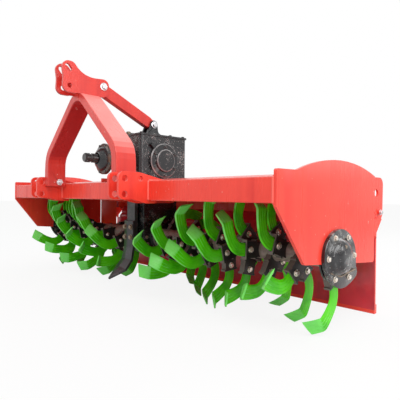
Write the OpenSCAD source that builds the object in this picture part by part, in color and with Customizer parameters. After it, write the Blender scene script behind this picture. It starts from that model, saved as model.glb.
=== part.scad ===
// Mounted rotary tiller with a gearbox on its centre line.
// X runs along the rotor with the machine's left at +X, the tractor is at -Y, Z is up.
// Outlines are drawn from the beam: y = 0 on its front face, z = 0 on its centre line.

/* [Frame] */
// Width over the two end plates
machine_w = 1860; // [1560:20:2100]
// Side of the square front beam
beam = 70; // [60:2:80]
// Wall of the front beam
beam_wall = 4; // [3:0.5:8]
// Thickness of an end plate
plate_t = 10; // [6:1:14]
// Front to rear length of an end plate
plate_len = 549; // [540:1:575]
// Rise of the rounded top of an end plate above its shoulders
dome_rise = 40; // [20:5:60]
// Side of the square tube under the back of the hood
rear_tube = 50; // [40:5:50]
// Wall of that tube
rear_tube_wall = 6; // [2:0.5:8]

/* [Rotor] */
// Drop from the beam's centre line to the rotor axis
axis_drop = 200; // [190:5:230]
// Distance from the beam's front face back to the rotor axis
axis_y = 300; // [295:5:315]
// Outer diameter of the rotor tube
tube_d = 66; // [60:2:76]
// Diameter of the shaft that crosses the lower case
cross_shaft_d = 50; // [40:2:52]
// Diameter of the stub in each end bearing
stub_d = 45; // [30:1:50]
// Blades on each half of the rotor
blades_per_side = 29; // [8:1:30]
// Turn from one group of four blades to the next along the rotor
group_turn = -17; // [-30:0.5:-5]
// Width of a blade
blade_w = 48; // [40:1:52]
// Thickness of a blade
blade_t = 9; // [6:0.5:12]
// Distance from the rotor axis to where a blade leaves its holder
holder_reach = 98; // [90:1:105]
// Wall of a blade holder
holder_wall = 6; // [4:0.5:8]
// Sideways bend of a blade's tip, in degrees
tip_fold = 52; // [20:2:70]

/* [Hood and board] */
// Gap between the blade tips and the hood
hood_gap = 5.5; // [5.5:0.5:12]
// Thickness of the hood sheet
hood_t = 4; // [3:0.5:6]
// Thickness of the rear board
board_t = 8; // [4:0.5:10]
// Distance from the end plates' back edge to the upright part of the board
board_gap = 106; // [90:2:120]
// Distance from the end plates' back edge to the board's hinge
hinge_gap = 154; // [146:2:166]
// Diameter of a hinge pin
hinge_pin_d = 16; // [12:1:20]
// Diameter of the large hole in a rear bracket
bracket_hole_d = 30; // [20:1:34]
// Thickness of a rear bracket
bracket_t = 8; // [6:1:12]

/* [Hitch] */
// Distance between the centres of the two lower hitch points
hitch_span = 683; // [640:1:720]
// Distance between the centres of a pair of hitch plates
hitch_pair = 63; // [56:1:70]
// Thickness of a hitch plate
hitch_t = 12; // [8:1:14]
// Diameter of a lower link hole
link_hole_d = 22.4; // [18:0.2:28.4]
// Distance of the lower link holes in front of the beam
link_hole_y = 95; // [90:1:110]
// Height of the upper row of link holes above the beam's centre line
link_hole_z = 40; // [36:1:44]
// Distance between the upper and the lower link hole
link_hole_step = 53; // [50:1:58]
// Diameter of the hole for the mast's foot bolt
foot_hole_d = 20; // [12:1:22]

/* [Mast] */
// Front to rear width of the mast tube
mast_w = 84; // [70:2:88]
// Thickness of the mast tube
mast_t = 34; // [30:1:36]
// Wall of the mast tube
mast_wall = 4; // [2:0.5:6]
// Height where the mast's slopes would meet above the beam's centre line
mast_peak = 400; // [390:5:420]
// Rise of a mast slope for each unit of width
mast_slope = 0.865; // [0.8:0.005:0.9]
// Distance between the centres of the top link plates
top_pair = 58; // [52:1:64]
// Thickness of a top link plate
top_t = 11; // [8:1:12]
// Diameter of the round top link hole
top_hole_d = 19.6; // [16:0.2:25.4]
// Diameter of the pins at the two ends of the stay
stay_pin_d = 20; // [14:1:22]
// Height of the stay's bar
stay_h = 50; // [40:2:54]
// Width of the stay's bar
stay_w = 30; // [24:2:36]

/* [Gearbox] */
// Width of the gearbox
box_w = 228; // [200:2:250]
// Length of the gearbox
box_len = 253; // [240:1:270]
// Height of the gearbox
box_h = 183; // [178:1:200]
// Distance from the beam's front face back to the gearbox
box_y = 149; // [145:1:155]
// Width of the lower case that hangs between the rotor halves
case_w = 120; // [100:2:130]
// Radius of the lower case about the rotor axis
case_r = 90; // [80:1:95]
// Outer diameter of a side cover
cover_d = 148; // [130:2:152]
// Diameter over the splines of the input shaft
spline_d = 38; // [32:1:44]
// Reach of the input shaft in front of the beam
spline_reach = 48; // [30:1:60]

/* [Chisel] */
// Width of the chisel
chisel_w = 70; // [60:2:90]
// Thickness of the chisel
chisel_t = 12; // [8:1:16]
// Thickness of the chisel's shank
shank_t = 16; // [10:1:18]

/* [Hidden] */

// Running clearance on curved seats
fit = 0.3;
$fn = 64;

// Colours of the finishes
paint = [0.86, 0.13, 0.10];
green = [0.16, 0.55, 0.08];
cast_black = [0.13, 0.13, 0.14];
zinc = [0.72, 0.73, 0.75];
bare_steel = [0.30, 0.28, 0.26];

// Vector and outline helpers
function unit(v) = v / norm(v);
function turned(p, a) = [p[0] * cos(a) - p[1] * sin(a), p[0] * sin(a) + p[1] * cos(a)];
function total(list, n) = n <= 0 ? 0 : list[n - 1] + total(list, n - 1);
function at(c) = [c[0], c[1]];

// Points of one outline corner; columns of a corner: across, up, fillet radius
function corner(before, c, after) =
    c[2] == undef || c[2] == 0 ? [at(c)] :
    let (u = unit(at(before) - at(c)), v = unit(at(after) - at(c)),
         half = acos(max(-1, min(1, u * v))) / 2,
         centre = at(c) + unit(u + v) * c[2] / sin(half),
         first = at(c) + u * c[2] / tan(half) - centre,
         last = at(c) + v * c[2] / tan(half) - centre,
         start = atan2(first[1], first[0]),
         sweep = (atan2(last[1], last[0]) - start + 540) % 360 - 180,
         steps = max(1, ceil(abs(sweep) / 15)))
    [for (k = [0:steps]) centre + c[2] * [cos(start + sweep * k / steps), sin(start + sweep * k / steps)]];

// A closed outline with filleted corners
function rounded(corners) = let (n = len(corners))
    [for (i = [0:n - 1]) each corner(corners[(i + n - 1) % n], corners[i], corners[(i + 1) % n])];

// An open path with filleted corners
function path(corners) = let (n = len(corners))
    [for (i = [0:n - 1]) each i == 0 || i == n - 1 ? [at(corners[i])]
                              : corner(corners[i - 1], corners[i], corners[i + 1])];

// The path moved sideways by d, to the left of its direction
function offset_path(p, d) = let (n = len(p))
    [for (i = [0:n - 1])
        let (a = unit(p[min(i + 1, n - 1)] - p[max(min(i, n - 2), 0)]),
             b = unit(p[max(min(i, n - 1), 1)] - p[max(i - 1, 0)]),
             normal = unit(turned(a + b, 90)))
        p[i] + normal * d / (normal * turned(a, 90))];

// A strip between two offsets of a path
function strip(p, low, high) =
    concat(offset_path(p, low), [for (i = [len(p) - 1:-1:0]) offset_path(p, high)[i]]);

// Derived places, from the beam's front face and centre line
inner_half = machine_w / 2 - plate_t;
beam_top = beam / 2;
axis_z = -axis_drop;
board_y = plate_len + board_gap;
hinge_y = plate_len + hinge_gap;
cheek_t = 10;
cheek_out = case_w / 2 + cheek_t;
housing_in_t = 6;
holder_half_t = blade_t / 2 + fit + holder_wall;

// Centre line of a blade: pieces of path with their length, turn and sideways bend
// columns: length, turn in the plane of rotation, sideways bend, rings
holder_floor = 48;
blade_run = [[holder_reach - holder_floor + 7, 0, 0, 1],
             [68, 60, 0, 4],
             [46, 12, 0, 2],
             [34, 7, tip_fold * 0.85, 3],
             [36, 4, tip_fold * 0.15, 1]];
blade_rings = [for (s = blade_run, k = [1:s[3]]) [s[0] / s[3], s[1] / s[3], s[2] / s[3]]];
ring_count = len(blade_rings);
ring_turn = [for (i = [0:ring_count]) total([for (s = blade_rings) s[1]], i)];
ring_fold = [for (i = [0:ring_count]) total([for (s = blade_rings) s[2]], i)];
ring_step = [for (i = [0:ring_count - 1])
    let (turn = (ring_turn[i] + ring_turn[i + 1]) / 2, fold = (ring_fold[i] + ring_fold[i + 1]) / 2)
    blade_rings[i][0] * [cos(turn) * cos(fold), -sin(turn) * cos(fold), sin(fold)]];
function ring_sum(i) = i <= 0 ? [holder_floor + 0.5, 0, 0] : ring_sum(i - 1) + ring_step[i - 1];
ring_centre = [for (i = [0:ring_count]) ring_sum(i)];
// Half width: full as far as the fold, then drawn in to the tip
tip_taper = 0.66;
function half_width(i) = blade_w / 2 * (i < ring_count ? 1 : tip_taper);
// Four corners of each ring: radial, trailing, along the rotor
ring_corners = [for (i = [0:ring_count])
    let (a = ring_turn[i], f = ring_fold[i],
         across = [sin(a), cos(a), 0],
         through = [-cos(a) * sin(f), sin(a) * sin(f), cos(f)])
    [for (s = [[-1, -1], [1, -1], [1, 1], [-1, 1]])
        ring_centre[i] + across * s[0] * half_width(i) + through * s[1] * blade_t / 2]];
function half_up(v) = ceil(2 * v) / 2;
tip_r = half_up(max([for (r = ring_corners, c = r) norm(at(c))]));
tip_reach = max([for (r = ring_corners, c = r) abs(c[2])]);

// Blades in groups of four; columns: angle in the first group, side to which the tip folds
blade_group = [[49, -1], [325.5, 1], [205, 1], [245, -1]];
function blade_angle(i) = blade_group[i % 4][0] + group_turn * floor(i / 4);
function blade_lean(i) = i == blades_per_side - 1 ? -1 : blade_group[i % 4][1];
lowest_tip = max([for (i = [0:blades_per_side - 1], r = ring_corners, c = r)
    -turned(at(c), blade_angle(i))[1]]);

// Heights above the ground and the middle of the machine's length
floor_z = axis_z - half_up(lowest_tip);
hood_under = axis_z + tip_r + hood_gap;
nose_r = 30;
top_hole = [-128, 408];
slot_at = [-133, 476];
stay_hole = [20, 429];
bracket_rear = hinge_y + 37;
nose_y = min(top_hole[0], slot_at[0]) - nose_r;
middle_y = (bracket_rear + nose_y) / 2;

// Blade places along one half of the rotor
case_gap = 6;
first_blade = cheek_out + ceil(tip_reach + case_gap);
last_blade = inner_half - housing_in_t - ceil(holder_half_t + 5);
blade_pitch = (last_blade - first_blade) / (blades_per_side - 1);

module placed() {
    translate([0, -middle_y, -floor_z]) children();
}

// An outline in the plane of rotation, from x0 towards +X
module side_on(x0, t) {
    translate([x0, 0, 0]) rotate([90, 0, 90]) linear_extrude(height = t) children();
}

// An outline seen from the front, from y0 towards +Y
module front_on(y0, t) {
    translate([0, y0 + t, 0]) rotate([90, 0, 0]) linear_extrude(height = t) children();
}

// A round bar along +X
module bar_x(x0, len, d, at_yz = [0, 0]) {
    translate([x0, at_yz[0], at_yz[1]]) rotate([0, 90, 0]) cylinder(h = len, d = d);
}

// A round bar along +Y
module bar_y(y0, len, d, z) {
    translate([0, y0, z]) rotate([-90, 0, 0]) cylinder(h = len, d = d);
}

module front_beam() {
    color(paint) placed() difference() {
        translate([-inner_half, 0, -beam / 2]) cube([2 * inner_half, beam, beam]);
        translate([-inner_half - 1, beam_wall, -beam / 2 + beam_wall])
            cube([2 * inner_half + 2, beam - 2 * beam_wall, beam - 2 * beam_wall]);
    }
}

// End plates: a straight front and bottom under a low rounded top
shoulder_z = beam_top + 20;
flat_top = 89;
dome_half = (plate_len - flat_top) / 2;
dome_r = (dome_half * dome_half + dome_rise * dome_rise) / (2 * dome_rise);
dome_half_angle = asin(dome_half / dome_r);
dome_points = [for (k = [0:12])
    let (a = 90 - dome_half_angle + 2 * dome_half_angle * k / 12)
    [flat_top + dome_half + dome_r * cos(a), shoulder_z + dome_rise - dome_r + dome_r * sin(a)]];
plate_outline = concat(dome_points, rounded([
    [0, shoulder_z, 6],
    [0, -beam / 2 - 8, 10],
    [axis_y - 171, axis_z - 5, 12],
    [plate_len, axis_z - 37, 12],
    [plate_len, shoulder_z - 20, 0]]));
bearing_neck_d = 100;

module end_plate(x0) {
    color(paint) placed() difference() {
        side_on(x0, plate_t) polygon(plate_outline);
        bar_x(x0 - 1, plate_t + 2, bearing_neck_d + 2 * fit, [axis_y, axis_z]);
    }
}
module end_plate_left() { end_plate(inner_half); }
module end_plate_right() { end_plate(-inner_half - plate_t); }

// Rear brackets hold the hood's back corners and the board's hinge
bracket_x = inner_half - 54;
bracket_hole = [hinge_y - 18, 0];
hinge = [hinge_y, -72];
stop_bolt = [hinge_y - 36, -73];
stop_bolt_d = 12;
bracket_outline = rounded([
    [plate_len + 40, 59, 20],
    [bracket_rear, 59, 28],
    [bracket_rear - 4, hinge[1] - 26, 22],
    [stop_bolt[0] - 22, hinge[1] - 26, 10],
    [stop_bolt[0] - 28, -30, 24],
    [plate_len + 40, -8, 12]]);
pin_reach = 26;

module rear_bracket(side) {
    color(paint) placed() mirror([side > 0 ? 0 : 1, 0, 0]) difference() {
        union() {
            side_on(bracket_x, bracket_t) polygon(bracket_outline);
            bar_x(bracket_x - pin_reach, pin_reach + bracket_t + 8, hinge_pin_d, hinge);
            bar_x(bracket_x - pin_reach + 6, pin_reach - 6 + bracket_t + 7, stop_bolt_d, stop_bolt);
        }
        bar_x(bracket_x - 1, bracket_t + 2, bracket_hole_d, bracket_hole);
    }
}
module rear_bracket_left() { rear_bracket(1); }
module rear_bracket_right() { rear_bracket(-1); }

// Hood: one bent sheet over the rotor, narrower behind the end plates, with a lip before the hinge
hood_top = hood_under + hood_t;
lip_top = -38;
lip_half = bracket_x - pin_reach + 4;
hood_path = path([
    [beam, beam_top - 5 - hood_t, 0],
    [beam + 30, beam_top - 5 - hood_t, 40],
    [axis_y - 70, hood_under, 60],
    [axis_y + 100, hood_under, 200],
    [plate_len + 20, hood_under - 14, 120],
    [board_y + 15, -2, 50],
    [hinge_y - 12, lip_top, 16],
    [hinge_y - 14, hinge[1] - 26, 0]]);
box_back = box_y + box_len;
case_half = case_r + 5;
case_rim = 8;
hood_cut_back = max(box_back, axis_y + case_half + case_rim) + fit;

module hood() {
    color(paint) placed() difference() {
        side_on(-inner_half, 2 * inner_half) polygon(strip(hood_path, 0, hood_t));
        translate([-cheek_out - fit, beam - 1, beam_top - 20])
            cube([2 * (cheek_out + fit), hood_cut_back - beam + 1, 100]);
        for (side = [-1, 1])
            translate([side > 0 ? bracket_x : -inner_half - 1, plate_len, -200])
                cube([inner_half + 1 - bracket_x, 400, 400]);
        for (side = [-1, 1])
            translate([side > 0 ? lip_half : -inner_half, plate_len, lip_top - 206])
                cube([inner_half - lip_half, 400, 200]);
    }
}

rear_tube_y = plate_len - 12 - rear_tube;
rear_tube_z = hood_under - 12 - rear_tube;
module rear_tube() {
    color(paint) placed() difference() {
        translate([-inner_half, rear_tube_y, rear_tube_z]) cube([2 * inner_half, rear_tube, rear_tube]);
        translate([-inner_half - 1, rear_tube_y + rear_tube_wall, rear_tube_z + rear_tube_wall])
            cube([2 * inner_half + 2, rear_tube - 2 * rear_tube_wall, rear_tube - 2 * rear_tube_wall]);
    }
}

// Lower hitch: a pair of plates each side, notched round the beam
link_low = -beam / 2 - 10;
hitch_outline = rounded([
    [-link_hole_y - 24, link_hole_z + 23, 20],
    [-link_hole_y - 24, link_hole_z - link_hole_step - 18, 20],
    [-link_hole_y + 29, link_hole_z - link_hole_step - 18, 40],
    [-8, link_low, 40],
    [beam / 2, link_low, 8],
    [beam / 2, 0, 0],
    [beam, 0, 0],
    [beam, beam_top + 4, 0],
    [-38, link_hole_z + 23, 90]]);
foot_hole = [-32, link_hole_z];

module hitch_plate(x) {
    difference() {
        side_on(x - hitch_t / 2, hitch_t) difference() {
            polygon(hitch_outline);
            translate([0, -beam / 2]) square([beam, beam]);
        }
        for (z = [link_hole_z, link_hole_z - link_hole_step])
            bar_x(x - hitch_t, 2 * hitch_t, link_hole_d, [-link_hole_y, z]);
        bar_x(x - hitch_t, 2 * hitch_t, foot_hole_d, foot_hole);
    }
}
module hitch_pair_at(side) {
    color(paint) placed() for (k = [-1, 1]) hitch_plate(side * hitch_span / 2 + k * hitch_pair / 2);
}
module hitch_plates_left() { hitch_pair_at(1); }
module hitch_plates_right() { hitch_pair_at(-1); }

// Mast: a flat rectangular tube bent into an arch, its feet inside the inner hitch plates
mast_foot_x = hitch_span / 2 - hitch_pair / 2 - hitch_t / 2 - mast_t / 2;
mast_foot_z = 20;
mast_knee_z = mast_peak - mast_slope * mast_foot_x;
mast_path = path([
    [-mast_foot_x, mast_foot_z, 0],
    [-mast_foot_x, mast_knee_z, 90],
    [0, mast_peak, 75],
    [mast_foot_x, mast_knee_z, 90],
    [mast_foot_x, mast_foot_z, 0]]);

module mast() {
    color(paint) placed() difference() {
        front_on(-mast_w, mast_w) polygon(strip(mast_path, -mast_t / 2, mast_t / 2));
        front_on(-mast_w + mast_wall, mast_w - 2 * mast_wall) intersection() {
            polygon(strip(mast_path, -mast_t / 2 + mast_wall, mast_t / 2 - mast_wall));
            translate([-500, mast_foot_z + mast_wall]) square([1000, 1000]);
        }
        for (side = [-1, 1])
            bar_x(side * mast_foot_x - mast_t, 2 * mast_t, foot_hole_d, foot_hole);
    }
}

// Top link plates: sit over the arch and carry the stay between them
top_gap_half = (top_pair - top_t) / 2;
seat_z = 384;
top_outline = rounded([
    [top_hole[0] - nose_r, top_hole[1] - 27, 26],
    [-mast_w - 22, top_hole[1] - 27, 8],
    [-mast_w - 12, seat_z, 6],
    [stay_hole[0] + 22, seat_z, 34],
    [stay_hole[0] + 26, stay_hole[1] + 32, 26],
    [-28, stay_hole[1] + 26, 70],
    [-84, slot_at[1] - 14, 90],
    [slot_at[0] + 22, slot_at[1] + 27, 24],
    [slot_at[0] - nose_r, slot_at[1] + 28, 27],
    [top_hole[0] - nose_r + 4, top_hole[1] + 34, 60]]);
slot_half = 7;
slot_d = 20;

module top_link_plates() {
    color(paint) placed() difference() {
        for (k = [-1, 1]) side_on(k * top_pair / 2 - top_t / 2, top_t) polygon(top_outline);
        front_on(-mast_w, mast_w) polygon(strip(mast_path, -mast_t / 2, mast_t / 2));
        bar_x(-top_pair, 2 * top_pair, top_hole_d, top_hole);
        bar_x(-top_pair, 2 * top_pair, stay_pin_d + 2 * fit, stay_hole);
        side_on(-top_pair, 2 * top_pair) translate(slot_at) rotate(-52) {
            for (k = [-1, 1]) translate([k * slot_half, 0]) circle(d = slot_d);
            translate([-slot_half, -slot_d / 2]) square([2 * slot_half, slot_d]);
        }
    }
}

// Stay: a rectangular tube from the top link plates down to the lug on the gearbox
box_z = hood_top + 2;
box_top = box_z + box_h;
lid_t = 8;
lug_base_t = 8;
lid_top = box_top + lid_t;
lug_eye = [box_y + 136, lid_top + 58];
stay_wall = 4;
stay_len = norm(lug_eye - stay_hole);
stay_tilt = atan2(lug_eye[1] - stay_hole[1], lug_eye[0] - stay_hole[0]);
stay_nose = 19;

module stay() {
    color(paint) placed() translate([-stay_w / 2, stay_hole[0], stay_hole[1]])
        rotate([stay_tilt, 0, 0]) difference() {
            side_on(0, stay_w) polygon(rounded([
                [-stay_nose, stay_h / 2, stay_nose - 1],
                [-stay_nose, -stay_h / 2 + 6, stay_nose - 5],
                [30, -stay_h / 2, 20],
                [stay_len - 30, -stay_h / 2, 20],
                [stay_len + stay_nose, -stay_h / 2 + 8, stay_nose - 5],
                [stay_len + stay_nose, stay_h / 2 - 8, stay_nose - 5],
                [stay_len - 30, stay_h / 2, 20]]));
            translate([stay_wall, stay_nose + 14, -stay_h / 2 + stay_wall])
                cube([stay_w - 2 * stay_wall, stay_len - 2 * stay_nose - 28, stay_h - 2 * stay_wall]);
            for (y = [0, stay_len]) bar_x(-1, stay_w + 2, stay_pin_d + 2 * fit, [y, 0]);
        }
}

// Pins: the front one has spacer collars that keep the stay centred
pin_head_d = 34;
pin_head_t = 9;
ear_t = 10;
ear_gap = stay_w + 2 * fit;
module stay_pin(at_yz, half) {
    bar_x(-half, 2 * half, stay_pin_d, at_yz);
    for (k = [-1, 1]) bar_x(k > 0 ? half : -half - pin_head_t, pin_head_t, pin_head_d - 4, at_yz);
}
module stay_pins() {
    color(zinc) placed() {
        stay_pin(stay_hole, top_pair / 2 + top_t / 2 + fit);
        for (k = [-1, 1])
            bar_x(k > 0 ? stay_w / 2 + fit : -top_gap_half + fit,
                  top_gap_half - stay_w / 2 - 2 * fit, pin_head_d, stay_hole);
        stay_pin(lug_eye, ear_gap / 2 + ear_t + fit);
    }
}

// Lug on the lid: two ears on a bolted base
lug_eye_r = 20;
module stay_lug() {
    color(cast_black) placed() {
        difference() {
            for (k = [-1, 1]) side_on(k > 0 ? ear_gap / 2 : -ear_gap / 2 - ear_t, ear_t) union() {
                translate(lug_eye) circle(r = lug_eye_r);
                polygon(rounded([
                    [lug_eye[0] - lug_eye_r, lug_eye[1], 0],
                    [lug_eye[0] - lug_eye_r - 22, lid_top + lug_base_t, 0],
                    [lug_eye[0] + 70, lid_top + lug_base_t, 0],
                    [lug_eye[0] + 24, lid_top + lug_base_t + 14, 20],
                    [lug_eye[0] + lug_eye_r - 1, lug_eye[1] - 2, 0]]));
            }
            bar_x(-60, 120, stay_pin_d + 2 * fit, lug_eye);
        }
        translate([-ear_gap / 2 - ear_t - 12, lug_eye[0] - 84, lid_top])
            cube([ear_gap + 2 * ear_t + 24, 164, lug_base_t]);
    }
}

// Gearbox: a cast box with bosses under its side covers
shaft_z = box_z + 79;
cover_y = box_y + 120;
boss_t = 6;
boss_d = 52;
module gearbox_case() {
    color(cast_black) placed() {
        translate([0, 0, box_z]) linear_extrude(height = box_h) polygon(rounded([
            [-box_w / 2, box_y, 14],
            [box_w / 2, box_y, 14],
            [box_w / 2, box_back, 14],
            [-box_w / 2, box_back, 14]]));
        for (side = [0, 1]) mirror([side, 0, 0]) difference() {
            bar_x(box_w / 2 - 4, boss_t + 4, boss_d, [cover_y - 52, box_z + 14]);
            translate([0, box_y, box_z - boss_d]) cube([box_w, box_len, boss_d]);
            bar_x(box_w / 2, box_w, cover_d + 2 * fit, [cover_y, shaft_z]);
        }
    }
}

lid_over = 5;
module gearbox_lid() {
    color(cast_black) placed() translate([0, 0, box_top]) linear_extrude(height = lid_t) polygon(rounded([
        [-box_w / 2 - lid_over, box_y - lid_over, 16],
        [box_w / 2 + lid_over, box_y - lid_over, 16],
        [box_w / 2 + lid_over, box_back + lid_over, 16],
        [-box_w / 2 - lid_over, box_back + lid_over, 16]]));
}

// Side covers: a bolted ring with a raised cap
cap_d = 96;
ring_t = 14;
tab_reach = 24;
module side_cover(mirrored) {
    color(cast_black) placed() mirror([mirrored, 0, 0]) {
        translate([box_w / 2, cover_y, shaft_z]) rotate([0, 90, 0]) rotate_extrude() polygon([
            [0, 0], [cover_d / 2, 0], [cover_d / 2, ring_t - 4], [cover_d / 2 - 4, ring_t],
            [cap_d / 2 + 3, ring_t], [cap_d / 2, ring_t + 3], [cap_d / 2, ring_t + 7],
            [cap_d / 2 - 4, ring_t + 10], [0, ring_t + 10]]);
        translate([box_w / 2, cover_y, shaft_z]) rotate([-45, 0, 0])
            translate([0, -cover_d / 2 - tab_reach, -6]) cube([ring_t - 2, tab_reach + 6, 12]);
    }
}
module side_cover_left() { side_cover(0); }
module side_cover_right() { side_cover(1); }

// Input housing: a round flange on a ribbed neck in front of the gearbox
housing_front = 26;
housing_d = 130;
module input_housing() {
    color(cast_black) placed() translate([0, housing_front, shaft_z]) rotate([-90, 0, 0]) difference() {
        union() {
            rotate_extrude() polygon([
                [0, 0], [30, 0], [32, 4], [housing_d / 2 - 3, 10], [housing_d / 2, 13], [housing_d / 2, 24],
                [housing_d / 2 - 18, 30], [44, 34], [44, box_y - housing_front - 18],
                [56, box_y - housing_front - 14], [56, box_y - housing_front], [0, box_y - housing_front]]);
            for (a = [45:90:315]) rotate(a) translate([40, -5, 28])
                cube([14, 10, box_y - housing_front - 28]);
        }
        translate([0, 0, -1]) cylinder(h = 66, d = spline_d + 8 + 2 * fit);
    }
}

// Input shaft: eight straight splines in front of a plain seal journal
spline_root = spline_d - 6;
spline_w = 6;
shaft_back = housing_front + 60;
module input_shaft() {
    color(bare_steel) placed() {
        bar_y(housing_front + 1, shaft_back - housing_front - 1, spline_d + 8, shaft_z);
        difference() {
            union() {
                bar_y(-spline_reach, housing_front + 2 + spline_reach, spline_root, shaft_z);
                intersection() {
                    bar_y(-spline_reach + 3, housing_front + spline_reach - 2, spline_d, shaft_z);
                    for (a = [0:45:135]) translate([0, 0, shaft_z]) rotate([0, a, 0])
                        translate([-spline_d, -spline_reach, -spline_w / 2])
                            cube([2 * spline_d, housing_front + 2 + spline_reach, spline_w]);
                }
            }
            translate([0, -spline_reach + 24, shaft_z]) rotate([-90, 0, 0]) difference() {
                cylinder(h = 8, d = spline_d + 4);
                translate([0, 0, -1]) cylinder(h = 10, d = spline_root);
            }
        }
    }
}

// Cheek plates: carry the gearbox and the lower case from the beam
module cheek_plates() {
    color(paint) placed() for (side = [-1, 1])
        side_on(side > 0 ? case_w / 2 : -case_w / 2 - cheek_t, cheek_t) polygon(rounded([
            [beam, box_z, 0],
            [box_back, box_z, 0],
            [box_back, box_z - 60, 20],
            [axis_y + 70, -50, 30],
            [axis_y - 90, -50, 30],
            [beam, -beam / 2, 0]]));
}

// Lower case: hangs between the rotor halves with a bolted rim round it
function case_outline(grow) = rounded([
    [axis_y - case_half - grow, box_z, 0],
    [axis_y - case_r - grow, axis_z - case_r - grow, case_r + grow - 2],
    [axis_y + case_r + grow, axis_z - case_r - grow, case_r + grow - 2],
    [axis_y + case_half + grow, box_z, 0]]);
hub_d = 110;
hub_t = 12;
module lower_case() {
    color(cast_black) placed() difference() {
        union() {
            side_on(-case_w / 2, case_w) polygon(case_outline(0));
            side_on(-9, 18) polygon(case_outline(case_rim));
            bar_x(-case_w / 2 - hub_t, case_w + 2 * hub_t, hub_d, [axis_y, axis_z]);
        }
        bar_x(-case_w, 2 * case_w, cross_shaft_d + 2 * fit, [axis_y, axis_z]);
    }
}

// End bearing housings: a neck through the end plate with an egg-shaped cover outside
housing_in_d = 150;
egg_t = 12;
cap_shift = 34;
stub_end = plate_t + 9;
// Outline of the cover about the rotor axis, with its cast ear at the lower back
egg_outline = rounded([
    [-52, 84, 56],
    [52, 86, 56],
    [100, 24, 60],
    [100, -42, 6],
    [107, -52, 5],
    [105, -66, 8],
    [72, -92, 30],
    [-46, -90, 56],
    [-92, -30, 60],
    [-92, 30, 60]]);
module bearing_housing(side) {
    color(cast_black) placed() mirror([side > 0 ? 0 : 1, 0, 0])
        translate([inner_half, axis_y, axis_z]) difference() {
            union() {
                bar_x(-housing_in_t, housing_in_t, housing_in_d);
                bar_x(0, plate_t, bearing_neck_d);
                side_on(plate_t, egg_t) polygon(egg_outline);
                translate([plate_t + egg_t, 0, 0]) rotate([0, 90, 0]) hull() {
                    cylinder(h = 6, d = 126, $fn = 48);
                    cylinder(h = 26, d = 66, $fn = 48);
                    translate([-cap_shift, 0, 0]) cylinder(h = 22, d = 44, $fn = 48);
                }
                bar_x(plate_t + egg_t, 24, 16, [0, cap_shift + 12]);
            }
            bar_x(-housing_in_t - 1, housing_in_t + 3 + stub_end, stub_d + 2 * fit);
        }
}
module bearing_housing_left() { bearing_housing(1); }
module bearing_housing_right() { bearing_housing(-1); }

// Rotor: a shaft through the lower case joins two tubes that carry the blade holders
tube_start = case_w / 2 + hub_t + 1;
tube_end = inner_half - housing_in_t - 1;
module rotor_shaft() {
    color(bare_steel) placed() bar_x(-tube_start - 40, 2 * tube_start + 80, cross_shaft_d, [axis_y, axis_z]);
}

// One holder, its blade pointing along +X of its own frame
holder_half = blade_w / 2 + fit + holder_wall;
module holder(extra) {
    translate([0, 0, -holder_half_t]) linear_extrude(height = 2 * holder_half_t)
        polygon([
            [tube_d / 2 - 8, -holder_half + 4], [holder_floor - 4, -holder_half + 4],
            [holder_floor - 4, -holder_half - extra], [holder_floor + 3, -holder_half - extra],
            [holder_floor + 3, -holder_half + 2], [holder_reach - 7, -holder_half + 2],
            [holder_reach - 7, -holder_half - extra], [holder_reach, -holder_half - extra],
            [holder_reach, holder_half + extra], [holder_reach - 7, holder_half + extra],
            [holder_reach - 7, holder_half - 2], [holder_floor + 3, holder_half - 2],
            [holder_floor + 3, holder_half + extra], [holder_floor - 4, holder_half + extra],
            [holder_floor - 4, holder_half - 4], [tube_d / 2 - 8, holder_half - 4]]);
}
module socket() {
    translate([holder_floor, -blade_w / 2 - fit, -blade_t / 2 - fit])
        cube([holder_reach, blade_w + 2 * fit, blade_t + 2 * fit]);
}

// Children placed at each blade station of the left half; their +X axis points outwards
module at_stations() {
    for (i = [0:blades_per_side - 1])
        translate([first_blade + i * blade_pitch, axis_y, axis_z])
            rotate([blade_angle(i), 0, 0]) rotate([90, 0, 90]) {
                $lean = blade_lean(i);
                children();
            }
}

module rotor_tube(side) {
    color(bare_steel) placed() mirror([side > 0 ? 0 : 1, 0, 0]) {
        difference() {
            union() {
                bar_x(tube_start, tube_end - tube_start, tube_d, [axis_y, axis_z]);
                bar_x(tube_start, 12, hub_d - 4, [axis_y, axis_z]);
                at_stations() holder(3);
            }
            at_stations() socket();
            bar_x(tube_start - 1, 43, cross_shaft_d + 2 * fit, [axis_y, axis_z]);
        }
        bar_x(tube_end, inner_half + stub_end - tube_end, stub_d, [axis_y, axis_z]);
    }
}
module rotor_tube_left() { rotor_tube(1); }
module rotor_tube_right() { rotor_tube(-1); }

// One blade, swept through its rings; lean is the side to which the tip folds
function blade_points(lean) = [for (r = ring_corners, c = r) [c[0], c[1], c[2] * lean]];
blade_faces = concat(
    [[3, 2, 1, 0]],
    [for (i = [0:ring_count - 1], k = [0:3])
        [4 * i + k, 4 * i + (k + 1) % 4, 4 * i + 4 + (k + 1) % 4, 4 * i + 4 + k]],
    [[for (k = [0:3]) 4 * ring_count + k]]);
function flipped(faces) = [for (f = faces) [for (i = [len(f) - 1:-1:0]) f[i]]];

module blade(lean) {
    polyhedron(points = blade_points(lean), faces = lean > 0 ? flipped(blade_faces) : blade_faces);
}

module blades(side) {
    color(green) placed() mirror([side > 0 ? 0 : 1, 0, 0]) at_stations() blade($lean);
}
module blades_left() { blades(1); }
module blades_right() { blades(-1); }

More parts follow.
